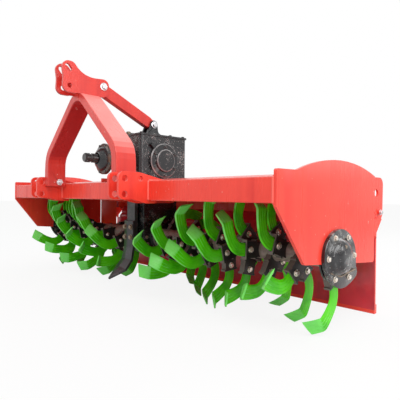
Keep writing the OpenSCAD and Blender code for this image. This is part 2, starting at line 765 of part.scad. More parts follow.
// Chisel: loosens the strip that the lower case leaves untilled
shank_y = axis_y - case_half - 9 - shank_t;
module chisel_shank() {
    color(cast_black) placed() {
        front_on(shank_y, shank_t) polygon([
            [-case_w / 2, box_z - 12], [case_w / 2, box_z - 12], [case_w / 2, box_z - 72], [30, box_z - 92],
            [30, axis_z - 20], [-30, axis_z - 20], [-30, box_z - 92], [-case_w / 2, box_z - 72]]);
    }
}

// Rings of the chisel, top to point; columns: y, z, half width, ridge height
share_rings = [
    [shank_y, -128, chisel_w / 2, 5],
    [shank_y, axis_z, chisel_w / 2, 7],
    [shank_y - 1, axis_z - 47, chisel_w / 2, 8],
    [shank_y - 12, axis_z - 102, chisel_w / 2 + 3, 9],
    [shank_y - 46, axis_z - 142, chisel_w / 2 + 6, 10],
    [shank_y - 108, axis_z - 176, 4, 3]];
function share_normal(i) =
    let (a = share_rings[max(i - 1, 0)],
         b = share_rings[min(i + 1, len(share_rings) - 1)],
         d = unit([b[0] - a[0], b[1] - a[1]]))
    [d[1], -d[0]];
share_points = [for (i = [0:len(share_rings) - 1])
    let (r = share_rings[i], n = share_normal(i) * (i == len(share_rings) - 1 ? 0.5 : 1))
    each [for (c = [[-r[2], 0], [r[2], 0], [r[2], chisel_t], [0, chisel_t + r[3]], [-r[2], chisel_t]])
        [c[0], r[0] + n[0] * c[1], r[1] + n[1] * c[1]]]];
share_last = 5 * (len(share_rings) - 1);
share_faces = concat(
    [[0, 1, 2, 3, 4]],
    [for (i = [0:len(share_rings) - 2], k = [0:4])
        [5 * i + (k + 1) % 5, 5 * i + k, 5 * i + 5 + k, 5 * i + 5 + (k + 1) % 5]],
    [[for (k = [4:-1:0]) share_last + k]]);
module chisel_share() {
    color(cast_black) placed() polyhedron(points = share_points, faces = share_faces);
}

// Rear board: a bent sheet on two hinge lugs, with a bar along its foot and upright ribs
board_half = bracket_x - 9;
board_low_half = inner_half - 34;
board_low_top = hinge[1] - 88;
board_path = path([
    [hinge_y - 5, hinge[1] - 32, 0],
    [board_y, hinge[1] - 78, 20],
    [board_y, floor_z, 0]]);
lug_in = 14;
lug_t = 12;
rib_t = 8;
rib_pitch = board_half * 0.42;
foot_bar = 34;
module board_lug() {
    difference() {
        side_on(bracket_x - 5 - lug_t, lug_t) union() {
            translate(hinge) circle(r = 20);
            polygon([
                [stop_bolt[0] - 8, stop_bolt[1] - stop_bolt_d / 2 - fit],
                [hinge_y, stop_bolt[1] - stop_bolt_d / 2 - fit],
                [hinge_y + 20, hinge[1]],
                [hinge_y + 14, hinge[1] - 40],
                [board_y + 34, hinge[1] - 66],
                [stop_bolt[0] + 12, hinge[1] - 50],
                [stop_bolt[0] - 8, hinge[1] - 22]]);
        }
        bar_x(0, bracket_x, hinge_pin_d + 2 * fit, hinge);
    }
}
module rear_board() {
    color(paint) placed() {
        side_on(-board_half, 2 * board_half) polygon(strip(board_path, 0, board_t));
        translate([-board_low_half, board_y, floor_z])
            cube([2 * board_low_half, board_t, board_low_top - floor_z]);
        for (side = [0, 1]) mirror([side, 0, 0]) board_lug();
        for (k = [-2:2]) side_on(k * rib_pitch - rib_t / 2, rib_t) polygon([
            [board_y + board_t, hinge[1] - 100], [board_y + board_t + 26, hinge[1] - 130],
            [board_y + board_t + 26, floor_z + 60], [board_y + board_t, floor_z + foot_bar]]);
        translate([-board_low_half, board_y + board_t, floor_z]) cube([2 * board_low_half, 8, foot_bar]);
    }
}

front_beam();
end_plate_left();
end_plate_right();
hood();
rear_tube();
hitch_plates_left();
hitch_plates_right();
mast();
top_link_plates();
stay();
stay_pins();
stay_lug();
gearbox_case();
gearbox_lid();
side_cover_left();
side_cover_right();
input_housing();
input_shaft();
cheek_plates();
lower_case();
bearing_housing_left();
bearing_housing_right();
rotor_shaft();
rotor_tube_left();
rotor_tube_right();
blades_left();
blades_right();
chisel_shank();
chisel_share();
rear_bracket_left();
rear_bracket_right();
rear_board();
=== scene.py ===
"""Looks of a tractor-mounted rotary tiller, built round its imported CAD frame."""

import logging
import math
from dataclasses import dataclass
from enum import Enum
from typing import Iterable, Sequence

import bpy
import numpy as np
from mathutils import Matrix, Vector


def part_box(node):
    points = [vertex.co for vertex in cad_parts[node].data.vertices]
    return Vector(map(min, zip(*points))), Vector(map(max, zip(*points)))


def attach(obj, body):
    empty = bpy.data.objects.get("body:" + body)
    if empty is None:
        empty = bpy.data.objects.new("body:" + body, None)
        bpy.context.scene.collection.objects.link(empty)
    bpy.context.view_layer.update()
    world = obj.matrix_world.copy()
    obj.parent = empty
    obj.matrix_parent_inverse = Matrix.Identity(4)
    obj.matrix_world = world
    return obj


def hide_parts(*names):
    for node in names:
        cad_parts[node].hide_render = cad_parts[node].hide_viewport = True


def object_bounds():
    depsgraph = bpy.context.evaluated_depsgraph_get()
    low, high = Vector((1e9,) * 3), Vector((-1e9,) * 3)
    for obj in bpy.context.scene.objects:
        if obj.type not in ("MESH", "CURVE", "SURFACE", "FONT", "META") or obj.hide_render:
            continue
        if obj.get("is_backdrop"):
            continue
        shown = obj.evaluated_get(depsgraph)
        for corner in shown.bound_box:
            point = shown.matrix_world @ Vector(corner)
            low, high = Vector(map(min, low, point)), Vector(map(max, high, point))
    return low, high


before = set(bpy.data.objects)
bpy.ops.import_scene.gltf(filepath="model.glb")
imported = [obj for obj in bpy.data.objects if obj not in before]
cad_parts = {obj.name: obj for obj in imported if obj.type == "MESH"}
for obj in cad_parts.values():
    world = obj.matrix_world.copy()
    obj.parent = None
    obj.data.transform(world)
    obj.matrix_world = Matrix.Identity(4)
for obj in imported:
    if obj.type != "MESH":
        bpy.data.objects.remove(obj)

log = logging.getLogger("tiller")

Colour = tuple[float, float, float]
Point = tuple[float, float, float]
Material = bpy.types.Material
Pairs = tuple[tuple[float, float], ...]
MM = 0.001


def placed(name: str, data: bpy.types.ID) -> bpy.types.Object:
    """A new object in the scene."""
    made = bpy.data.objects.new(name, data)
    bpy.context.scene.collection.objects.link(made)
    return made


class Slot(Enum):
    """Names of material slots."""

    RED = "red_paint"
    GREEN = "green_paint"
    BLACK = "cast_black"
    STEEL = "bare_steel"
    ZINC = "zinc"


class Body(Enum):
    """Moving groups of the frame."""

    FRAME = "frame"
    ROTOR = "rotor"
    INPUT = "input"
    BOARD = "board"


# Places, in millimetres from the front beam's front face and centre line


@dataclass(frozen=True)
class Places:
    """Sizes read from the CAD nodes, and the way from the designer's frame to the row's.

    Attributes:
        beam_front: Row Y of the beam's front face, in metres.
        beam_middle: Row Z of the beam's centre line, in metres.
        inner_half: Half the distance between the end plates.
        axis_y: Rotor axis behind the beam's front face.
        axis_z: Rotor axis above the beam's centre line.
        beam: Side of the square beam.
        plate_t: Thickness of an end plate.
        box_z: Underside of the gearbox.
        box_top: Top of the gearbox's case.
    """

    beam_front: float
    beam_middle: float
    inner_half: float
    axis_y: float
    axis_z: float
    beam: float
    plate_t: float
    box_z: float
    box_top: float

    @classmethod
    def from_nodes(cls) -> "Places":
        """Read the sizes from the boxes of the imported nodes.

        Returns:
            The sizes and the way between the frames.
        """
        beam_low, beam_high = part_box("front_beam")
        plate_low, plate_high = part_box("end_plate_left")
        case_low, case_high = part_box("gearbox_case")
        shaft_low, shaft_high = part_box("rotor_shaft")
        front, middle = beam_low.y, (beam_low.z + beam_high.z) / 2
        return cls(
            beam_front=front,
            beam_middle=middle,
            inner_half=plate_low.x / MM,
            axis_y=((shaft_low.y + shaft_high.y) / 2 - front) / MM,
            axis_z=((shaft_low.z + shaft_high.z) / 2 - middle) / MM,
            beam=(beam_high.z - beam_low.z) / MM,
            plate_t=(plate_high.x - plate_low.x) / MM,
            box_z=(case_low.z - middle) / MM,
            box_top=(case_high.z - middle) / MM,
        )

    def at(self, x: float, y: float, z: float) -> Vector:
        """A point of the designer's frame, in row metres."""
        return Vector((x * MM, self.beam_front + y * MM, self.beam_middle + z * MM))


# Shader sheets


@dataclass(frozen=True)
class Signal:
    """One output of a node, which takes part in arithmetic as a number does."""

    sheet: "Sheet"
    socket: bpy.types.NodeSocket

    def _math(self, operation: str, left: "Signal | float", right: "Signal | float") -> "Signal":
        """Add a Math node of two operands."""
        return self.sheet.add("ShaderNodeMath", {"operation": operation}, {0: left, 1: right})

    def __add__(self, other: "Signal | float") -> "Signal":
        """Sum."""
        return self._math("ADD", self, other)

    def __radd__(self, other: float) -> "Signal":
        """Sum with a number on the left."""
        return self._math("ADD", other, self)

    def __sub__(self, other: "Signal | float") -> "Signal":
        """Difference."""
        return self._math("SUBTRACT", self, other)

    def __rsub__(self, other: float) -> "Signal":
        """Difference from a number on the left."""
        return self._math("SUBTRACT", other, self)

    def __mul__(self, other: "Signal | float") -> "Signal":
        """Product."""
        return self._math("MULTIPLY", self, other)

    def __rmul__(self, other: float) -> "Signal":
        """Product with a number on the left."""
        return self._math("MULTIPLY", other, self)

    def larger(self, other: "Signal | float") -> "Signal":
        """The larger of two values."""
        return self._math("MAXIMUM", self, other)

    def above(self, low: float, high: float) -> "Signal":
        """A mask that rises smoothly from 0 at low to 1 at high.

        Args:
            low: Value where the mask starts.
            high: Value where it is full; below low, the mask falls instead.

        Returns:
            The mask, 0 to 1.
        """
        return self.sheet.add(
            "ShaderNodeMapRange",
            {"interpolation_type": "SMOOTHSTEP"},
            {"Value": self, "From Min": low, "From Max": high},
        )


class Sheet:
    """The nodes of one material, or of the world."""

    def __init__(self, name: str, world: bool = False) -> None:
        """Start without nodes.

        Args:
            name: The material's name, or the world's.
            world: Whether it is a world.
        """
        self.owner = (bpy.data.worlds if world else bpy.data.materials).new(name)
        self.owner.use_nodes = True
        self.tree = self.owner.node_tree
        self.tree.nodes.clear()

    def add(
        self,
        kind: str,
        settings: dict[str, object] | None = None,
        inputs: dict[object, object] | None = None,
        output: str | int = 0,
    ) -> Signal:
        """Add a node.

        Args:
            kind: Blender's type of node.
            settings: Properties, set first; "stops" fills a colour ramp.
            inputs: Values or signals by socket name, identifier or number.
            output: The output to hand back.

        Returns:
            The chosen output.
        """
        node = self.tree.nodes.new(kind)
        for key, value in (settings or {}).items():
            if key == "stops":
                self._stops(node, value)
            else:
                setattr(node, key, value)
        for key, value in (inputs or {}).items():
            socket = self._socket(node.inputs, key)
            if isinstance(value, Signal):
                self.tree.links.new(value.socket, socket)
            else:
                socket.default_value = value
        found = self._socket(node.outputs, output) if len(node.outputs) else None
        return Signal(self, found)

    @staticmethod
    def _stops(node: bpy.types.Node, stops: Sequence[tuple[float, Colour]]) -> None:
        """Fill a colour ramp.

        Args:
            node: The ramp's node.
            stops: Places from 0 to 1 with their colours, in rising order.
        """
        elements = node.color_ramp.elements
        while len(elements) > 1:
            elements.remove(elements[-1])
        for i, (place, colour) in enumerate(stops):
            element = elements[0] if i == 0 else elements.new(place)
            element.position = place
            element.color = (*colour, 1.0)

    @staticmethod
    def _socket(sockets: Iterable[bpy.types.NodeSocket], key: object) -> bpy.types.NodeSocket:
        """Find a socket.

        Args:
            sockets: The node's inputs or outputs.
            key: Its number, identifier or name.

        Returns:
            The socket.

        Raises:
            KeyError: If the node has no such socket in use.
        """
        listed = list(sockets)
        if isinstance(key, int):
            return listed[key]
        for socket in listed:
            if socket.identifier == key:
                return socket
        for socket in listed:
            if socket.name == key and socket.enabled:
                return socket
        raise KeyError(f"no socket {key!r}")

    def place(self) -> Signal:
        """Coordinates on the object, in metres."""
        return self.add("ShaderNodeTexCoord", output="Object")

    def scaled(self, vector: Signal, by: Point) -> Signal:
        """A vector times another, part by part."""
        return self.add("ShaderNodeVectorMath", {"operation": "MULTIPLY"}, {0: vector, 1: by})

    def noise(self, vector: Signal, scale: float, detail: float = 2.0, rough: float = 0.5) -> Signal:
        """Noise from 0 to 1 over the object.

        Args:
            vector: Coordinates.
            scale: Waves in a metre.
            detail: Octaves.
            rough: Strength of the fine octaves.

        Returns:
            The noise value.
        """
        return self.add(
            "ShaderNodeTexNoise",
            inputs={"Vector": vector, "Scale": scale, "Detail": detail, "Roughness": rough},
            output="Fac",
        )

    def axis(self, vector: Signal, which: str) -> Signal:
        """One coordinate of a vector."""
        return self.add("ShaderNodeSeparateXYZ", inputs={0: vector}, output=which)

    def normal(self, which: str) -> Signal:
        """One coordinate of the surface's own normal."""
        return self.axis(self.add("ShaderNodeNewGeometry", output="Normal"), which)

    def sideways(self, low: float, high: float) -> Signal:
        """A mask of the faces that look along the rotor's axis, either way."""
        facing = self.normal("X")
        return (facing * facing).above(low, high)

    def radius(self, at: Signal, axis: Point) -> Signal:
        """Distance from a line along X.

        Args:
            at: Coordinates on the object.
            axis: A point of the line, with X 0.

        Returns:
            The distance, in metres.
        """
        settings = {"operation": "SUBTRACT"}
        arm = self.add("ShaderNodeVectorMath", settings, {0: self.scaled(at, (0, 1, 1)), 1: axis})
        return self.add("ShaderNodeVectorMath", {"operation": "LENGTH"}, {0: arm}, output="Value")

    def mix(self, mask: Signal | float, low: "Signal | Colour", high: "Signal | Colour") -> Signal:
        """A colour between two others.

        Args:
            mask: 0 shows low and 1 shows high.
            low: A colour.
            high: A colour.

        Returns:
            The mixed colour.
        """
        ends = [c if isinstance(c, Signal) else (*c, 1.0) for c in (low, high)]
        return self.add(
            "ShaderNodeMix",
            {"data_type": "RGBA"},
            {"Factor_Float": mask, "A_Color": ends[0], "B_Color": ends[1]},
            output="Result_Color",
        )

    def bump(self, height: Signal, depth: float, strength: float = 1.0) -> Signal:
        """A bumped normal.

        Args:
            height: Height from 0 to 1.
            depth: Height of 1, in metres.
            strength: Share of the bump that shows.

        Returns:
            The normal.
        """
        return self.add(
            "ShaderNodeBump", inputs={"Strength": strength, "Distance": depth, "Height": height}
        )

    def finish(self, **inputs: object) -> Material:
        """Close the sheet with one Principled surface.

        Args:
            **inputs: Socket values, with an underscore for each space.

        Returns:
            The material.
        """
        named = {key.replace("_", " "): value for key, value in inputs.items()}
        surface = self.add("ShaderNodeBsdfPrincipled", inputs=named)
        self.add("ShaderNodeOutputMaterial", inputs={"Surface": surface})
        return self.owner


@dataclass(frozen=True)
class RedEnamel:
    """Gloss enamel on plate: vertical runs, dull patches, chips; painted sky reflection in pale pink on
    what faces up, and painted shade in deep red on what faces down.

    Attributes:
        run_waves: Runs in a metre.
        gloss: Roughness where the enamel is clean.
        sky_sheen: Share of the pale colour, a painted reflection of the sky, on faces that look up.
        shade: Share of the deepest red, painted shade, on faces that look down.
        top_sheen: Share of the pale colour, a painted reflection, above top_sheen_to; it starts at
            top_sheen_from, in metres.
    """

    name: str = "red_enamel"
    fresh: Colour = (0.90, 0.060, 0.036)
    deep: Colour = (0.72, 0.030, 0.022)
    # The pale pink is a painted reflection of the sky, and the next colour, a deep red, is painted shade.
    pale: Colour = (1.0, 0.34, 0.31)
    dark: Colour = (0.42, 0.014, 0.016)
    chip: Colour = (0.90, 0.62, 0.55)
    run_waves: float = 19.0
    gloss: float = 0.27
    sky_sheen: float = 0.30
    shade: float = 0.35
    top_sheen: float = 0.0
    top_sheen_from: float = 0.46
    top_sheen_to: float = 0.58

    def make(self) -> Material:
        """Build the material.

        Returns:
            The material.
        """
        s = Sheet(self.name)
        at = s.place()
        runs = s.noise(s.scaled(at, (1.0, 1.0, 0.05)), self.run_waves, 3.0, 0.6)
        patches = s.noise(at, 5.0, 3.0, 0.55)
        up = s.normal("Z")
        # Painted light: faces that look up turn pale pink as a painted sky reflection, and faces that look
        # down turn deep red as painted shade.
        lit = (up + (patches - 0.5) * 0.6).above(0.08, 0.85)
        under = up.above(-0.15, -0.8)
        chips = s.noise(at, 95.0, 2.0, 0.5).above(0.735, 0.765)
        dulled = patches.above(0.45, 0.85) * 0.45 + runs.above(0.46, 0.70) * 0.6
        body = s.mix(dulled, self.fresh, self.deep)
        # Painted reflection: the colour turns pale above a height, as on the end plates' tops.
        if self.top_sheen:
            high = s.axis(at, "Z") + (runs - 0.5) * 0.12
            body = s.mix(high.above(self.top_sheen_from, self.top_sheen_to) * self.top_sheen, body, self.pale)
        turned = s.mix(under * self.shade, s.mix(lit * self.sky_sheen, body, self.pale), self.dark)
        return s.finish(
            Base_Color=s.mix(chips * 0.6, turned, self.chip),
            Roughness=self.gloss + runs.above(0.4, 0.8) * 0.14 + chips * 0.3,
            Specular_IOR_Level=0.38,
            Coat_Weight=0.16,
            Coat_Roughness=0.10,
            Normal=s.bump(s.noise(at, 210.0, 1.0) + runs * 0.9, 0.00035, 0.5),
        )


@dataclass(frozen=True)
class ShadedBoardEnamel:
    """Gloss enamel of the board, its red darkened to maroon as painted shade; its own red shows along its
    foot, as a painted edge highlight, on its ends and at its back.

    Attributes:
        foot: Height of the bright foot, a painted edge highlight, in metres.
    """

    name: str = "shaded_board_enamel"
    # The two maroons are the red darkened by painted shade; the bright red is the board's own colour.
    deep: Colour = (0.76, 0.030, 0.050)
    deeper_shade_maroon: Colour = (0.46, 0.022, 0.040)
    bright: Colour = (1.0, 0.060, 0.030)
    foot: float = 0.012

    def make(self) -> Material:
        """Build the material.

        Returns:
            The material.
        """
        s = Sheet(self.name)
        at = s.place()
        cloud = s.noise(s.scaled(at, (1.0, 1.0, 0.5)), 9.0, 3.0, 0.55)
        foot = s.axis(at, "Z").above(self.foot + 0.004, self.foot)
        end = s.sideways(0.4, 0.6)
        back = s.normal("Y").above(0.2, 0.6)
        # Painted shade: maroon over the board's front, its own red at the back, on the ends and along the
        # foot.
        body = s.mix(back, s.mix(cloud.above(0.35, 0.7), self.deep, self.deeper_shade_maroon), self.bright)
        return s.finish(
            Base_Color=s.mix(end, s.mix(foot, body, self.bright), self.bright),
            Roughness=0.16 + cloud.above(0.4, 0.8) * 0.16,
            Coat_Weight=0.6,
            Coat_Roughness=0.06,
            Normal=s.bump(s.noise(at, 180.0, 1.0), 0.0003, 0.5),
        )


@dataclass(frozen=True)
class GreenEnamel:
    """Bright enamel on forged blades, with a painted sky reflection in pale green on the bent tips, and
    brown along their ends.

    Attributes:
        axis: A point of the rotor's axis, with X 0, in metres.
        reach: Distance from the axis to where the wear begins, in metres.
    """

    name: str = "green_enamel"
    fresh: Colour = (0.095, 0.66, 0.004)
    shade: Colour = (0.050, 0.47, 0.003)
    # The pale green is a painted reflection of the sky on the tips.
    pale: Colour = (0.26, 0.86, 0.22)
    bare: Colour = (0.15, 0.10, 0.04)
    axis: Point = (0.0, 0.0, 0.0)
    reach: float = 0.2425

    def make(self) -> Material:
        """Build the material.

        Returns:
            The material.
        """
        s = Sheet(self.name)
        at = s.place()
        radius = s.radius(at, self.axis)
        mottled = s.noise(at, 60.0, 4.0, 0.65)
        # Painted reflection: faces on the bent tips that turn away from the rotor's axis.
        tip_reflection = s.sideways(0.80, 0.55) * radius.above(0.178, 0.190)
        worn = (radius * (1 / self.reach) + mottled * 0.05).above(1.008, 1.022)
        body = s.mix(s.noise(at, 14.0, 2.0).above(0.4, 0.7), self.fresh, self.shade)
        body = s.mix(tip_reflection * (0.35 + mottled * 0.4), body, self.pale)
        return s.finish(
            Base_Color=s.mix(worn * 0.75, body, self.bare),
            Roughness=0.26 + worn * 0.35,
            Specular_IOR_Level=0.28,
            Coat_Weight=0.12 - worn * 0.12,
            Coat_Roughness=0.10,
            Normal=s.bump(s.noise(at, 90.0, 2.0), 0.0004, 0.4),
        )


@dataclass(frozen=True)
class CastEnamel:
    """Black enamel on a sand casting, with grains and smears rubbed to grey and a little rust.

    Attributes:
        wear: Share and strength of the rubbed grains.
        rust_share: Share and strength of the rust.
        polish: Roughness where the enamel is whole.
        grains: Grains in a metre.
        smear: Strength of the grey smears.
    """

    name: str = "cast_enamel"
    body: Colour = (0.010, 0.010, 0.012)
    rubbed: Colour = (0.52, 0.52, 0.50)
    rust: Colour = (0.15, 0.065, 0.030)
    wear: float = 0.5
    rust_share: float = 0.2
    polish: float = 0.24
    grains: float = 240.0
    smear: float = 0.10

    def make(self) -> Material:
        """Build the material.

        Returns:
            The material.
        """
        s = Sheet(self.name)
        at = s.place()
        grain = s.noise(at, self.grains, 4.0, 0.75)
        cloud = s.noise(at, 17.0, 4.0, 0.6)
        fleck = (grain + cloud * 0.3).above(0.80 - self.wear * 0.07, 0.82)
        smear = cloud.above(0.52, 0.72) * self.smear
        stain = s.noise(at, 33.0, 3.0, 0.6).above(0.66 - 0.2 * self.rust_share, 0.80)
        base = s.mix(stain * self.rust_share * 2.0, s.mix(smear, self.body, self.rubbed), self.rust)
        return s.finish(
            Base_Color=s.mix(fleck * self.wear, base, self.rubbed),
            Roughness=self.polish + fleck * 0.25 + stain * 0.25,
            Coat_Weight=0.35 - fleck * 0.35,
            Coat_Roughness=0.12,
            Normal=s.bump(grain * 0.5 + cloud, 0.0020, 0.6),
        )


@dataclass(frozen=True)
class TubeEnamel:
    """Brown worn steel on the rotor's tube, black holders with brownish-grey rims.

    Attributes:
        axis: A point of the rotor's axis, with X 0, in metres.
        tube_r: Radius where the tube ends, in metres.
        holder_r: Radius where the holders start, in metres.
    """

    name: str = "rotor_steel"
    tube: Colour = (0.36, 0.275, 0.245)
    tube_worn: Colour = (0.20, 0.150, 0.130)
    holder: Colour = (0.014, 0.012, 0.012)
    rim: Colour = (0.21, 0.165, 0.15)
    grain: Colour = (0.30, 0.28, 0.27)
    axis: Point = (0.0, 0.0, 0.0)
    tube_r: float = 0.0345
    holder_r: float = 0.037

    def make(self) -> Material:
        """Build the material.

        Returns:
            The material.
        """
        s = Sheet(self.name)
        at = s.place()
        radius = s.radius(at, self.axis)
        cloud = s.noise(at, 38.0, 4.0, 0.65)
        turned = s.mix(cloud.above(0.35, 0.7), self.tube, self.tube_worn)
        side = s.sideways(0.5, 0.8)
        held = s.mix((1.0 - side) * (0.3 + cloud * 0.7), self.holder, self.rim)
        grain = s.noise(at, 170.0, 3.0, 0.7).above(0.66, 0.74)
        body = s.mix(radius.above(self.tube_r, self.holder_r), turned, held)
        return s.finish(
            Base_Color=s.mix(grain * 0.35, body, self.grain),
            Roughness=0.34 + cloud * 0.2,
            Specular_IOR_Level=0.45,
            Coat_Weight=0.15,
            Coat_Roughness=0.2,
            Normal=s.bump(cloud, 0.0012, 0.6),
        )


@dataclass(frozen=True)
class Metal:
    """Bare or plated steel, with stains."""

    name: str
    colour: Colour
    stain: Colour
    metallic: float = 1.0
    roughness: float = 0.32
    stain_share: float = 0.3

    def make(self) -> Material:
        """Build the material.

        Returns:
            The material.
        """
        s = Sheet(self.name)
        at = s.place()
        patch = s.noise(at, 70.0, 4.0, 0.65).above(0.48, 0.72) * self.stain_share
        return s.finish(
            Base_Color=s.mix(patch, self.colour, self.stain),
            Metallic=self.metallic - patch * 0.6,
            Roughness=self.roughness + patch * 0.35,
            Normal=s.bump(s.noise(at, 240.0, 2.0), 0.0004, 0.4),
        )


# Meshes


class Mesh:
    """Gathers vertices and faces in row metres, then becomes one piece."""

    def __init__(self) -> None:
        """Start empty."""
        self.points: list[Vector] = []
        self.faces: list[tuple[int, ...]] = []

    @staticmethod
    def _circle(
        middle: Vector, u: Vector, v: Vector, radius: float, sides: int, turn: float = 0.0
    ) -> list[Vector]:
        """Points on a circle.

        Args:
            middle: Its middle.
            u: Direction of the first point, where turn is 0.
            v: Direction towards which the points run on from u.
            radius: Its radius in millimetres.
            sides: How many points it has.
            turn: Angle of the first point, in degrees.

        Returns:
            The points.
        """
        angles = (math.radians(turn) + 2 * math.pi * k / sides for k in range(sides))
        return [middle + (u * math.cos(a) + v * math.sin(a)) * (radius * MM) for a in angles]

    def rings(self, rings: Sequence[Sequence[Vector]], loop: bool = False) -> None:
        """Skin rings of equal length, and cap both ends or join them.

        Args:
            rings: Points of each ring, turning the same way.
            loop: Whether the last ring joins the first, as on a washer.
        """
        start, n = len(self.points), len(rings[0])
        for ring in rings:
            self.points.extend(ring)
        for i in range(len(rings) - (0 if loop else 1)):
            a, b = start + i * n, start + (i + 1) % len(rings) * n
            self.faces.extend((a + k, a + (k + 1) % n, b + (k + 1) % n, b + k) for k in range(n))
        if not loop:
            self.faces.append(tuple(start + k for k in reversed(range(n))))
            self.faces.append(tuple(start + (len(rings) - 1) * n + k for k in range(n)))

    def lathe(
        self, centre: Vector, axis: Vector, profile: Sequence[tuple[float, float]], sides: int = 24,
        turn: float = 0.0, loop: bool = False,
    ) -> None:
        """Turn a profile round an axis.

        Args:
            centre: Point on the axis at height 0.
            axis: Direction of rising height.
            profile: Pairs of radius and height in millimetres, from the foot up.
            sides: Facets round the axis.
            turn: Angle of the first facet, in degrees.
            loop: Whether the profile closes on itself round a bore.
        """
        axis = axis.normalized()
        u = axis.orthogonal().normalized()
        v = axis.cross(u)
        middles = [centre + axis * (height * MM) for _, height in profile]
        circles = [self._circle(m, u, v, r, sides, turn) for m, (r, _) in zip(middles, profile)]
        self.rings(circles, loop)

    def tube(self, path: Sequence[Vector], radii: Sequence[float], sides: int = 8) -> None:
        """A round bar along a path.

        Args:
            path: Points of the centre line.
            radii: Radius at each point, in millimetres.
            sides: Facets round the bar.
        """
        rings = []
        reference = (path[1] - path[0]).orthogonal()
        for i, middle in enumerate(path):
            along = (path[min(i + 1, len(path) - 1)] - path[max(i - 1, 0)]).normalized()
            u = (reference - along * reference.dot(along)).normalized()
            rings.append(self._circle(middle, u, along.cross(u), radii[i], sides))
        self.rings(rings)

    def weld(self, start: Vector, end: Vector, radius: float = 3.4, pitch: float = 6.5) -> None:
        """A weld bead: a bar whose radius ripples.

        Args:
            start: One end.
            end: The other end.
            radius: Mean radius in millimetres.
            pitch: Length of a ripple in millimetres.
        """
        ripples = (end - start).length / MM / pitch
        steps = max(6, int(ripples) * 4)
        path = [start.lerp(end, i / steps) for i in range(steps + 1)]
        waves = (abs(math.sin(math.pi * ripples * i / steps)) for i in range(steps + 1))
        radii = [radius * (0.84 + 0.2 * wave) for wave in waves]
        radii[0] = radii[-1] = radius * 0.4
        self.tube(path, radii, 6)

    def bolt(
        self, seat: Vector, axis: Vector, flats: float, turn: float = 0.0, washer: bool = True
    ) -> None:
        """A hexagon head on a washer.

        Args:
            seat: Where the head sits.
            axis: Way out of the surface.
            flats: Width over the flats in millimetres.
            turn: Turn of the hexagon in degrees.
            washer: Whether a washer lies under it.
        """
        corner, rim, thread = flats / math.sqrt(3), flats * 0.72, flats * 0.3
        base = flats * 0.10 if washer else 0.0
        top = base + flats * 0.38
        if washer:
            self.lathe(seat, axis, [(rim, -0.5), (rim, base * 0.8), (flats * 0.66, base)], 20)
        shoulder = base + flats * 0.38 * 0.82
        self.lathe(seat, axis, [(corner, base - 0.4), (corner, shoulder), (corner * 0.86, top)], 6, turn)
        self.lathe(seat, axis, [(thread, base), (thread, top + 0.2)], 12)

    def nut(self, seat: Vector, axis: Vector, flats: float, turn: float = 0.0, stub: float = 5.0) -> None:
        """A nut with the bolt's end standing out of it.

        Args:
            seat: Where the nut sits.
            axis: Way out of the surface.
            flats: Width over the flats in millimetres.
            turn: Turn of the hexagon in degrees.
            stub: Length of thread past the nut in millimetres.
        """
        corner, height = flats / math.sqrt(3), flats * 0.48
        self.lathe(seat, axis, [(corner, -0.4), (corner, height * 0.86), (corner * 0.86, height)], 6, turn)
        r = flats * 0.30
        self.lathe(seat, axis, [(r, height - 1), (r, height + stub - 1), (r * 0.8, height + stub)], 12)

    def piece(
        self, name: str, material: Material, body: Body, slot: Slot, smooth: float = 32.0
    ) -> bpy.types.Object:
        """Make the piece and let it ride on its body.

        Args:
            name: The piece's name.
            material: Its finish.
            body: The body that carries it.
            slot: Not used.
            smooth: Edges sharper than this angle, in degrees, stay sharp.

        Returns:
            The new object.
        """
        mesh = bpy.data.meshes.new(name)
        mesh.from_pydata([tuple(p) for p in self.points], [], self.faces)
        mesh.validate()
        mesh.materials.append(material)
        mesh.polygons.foreach_set("use_smooth", [True] * len(mesh.polygons))
        mesh.set_sharp_from_angle(angle=math.radians(smooth))
        made = placed(name, mesh)
        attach(made, body.value)
        log.info("%s: %d faces", name, len(mesh.polygons))
        return made


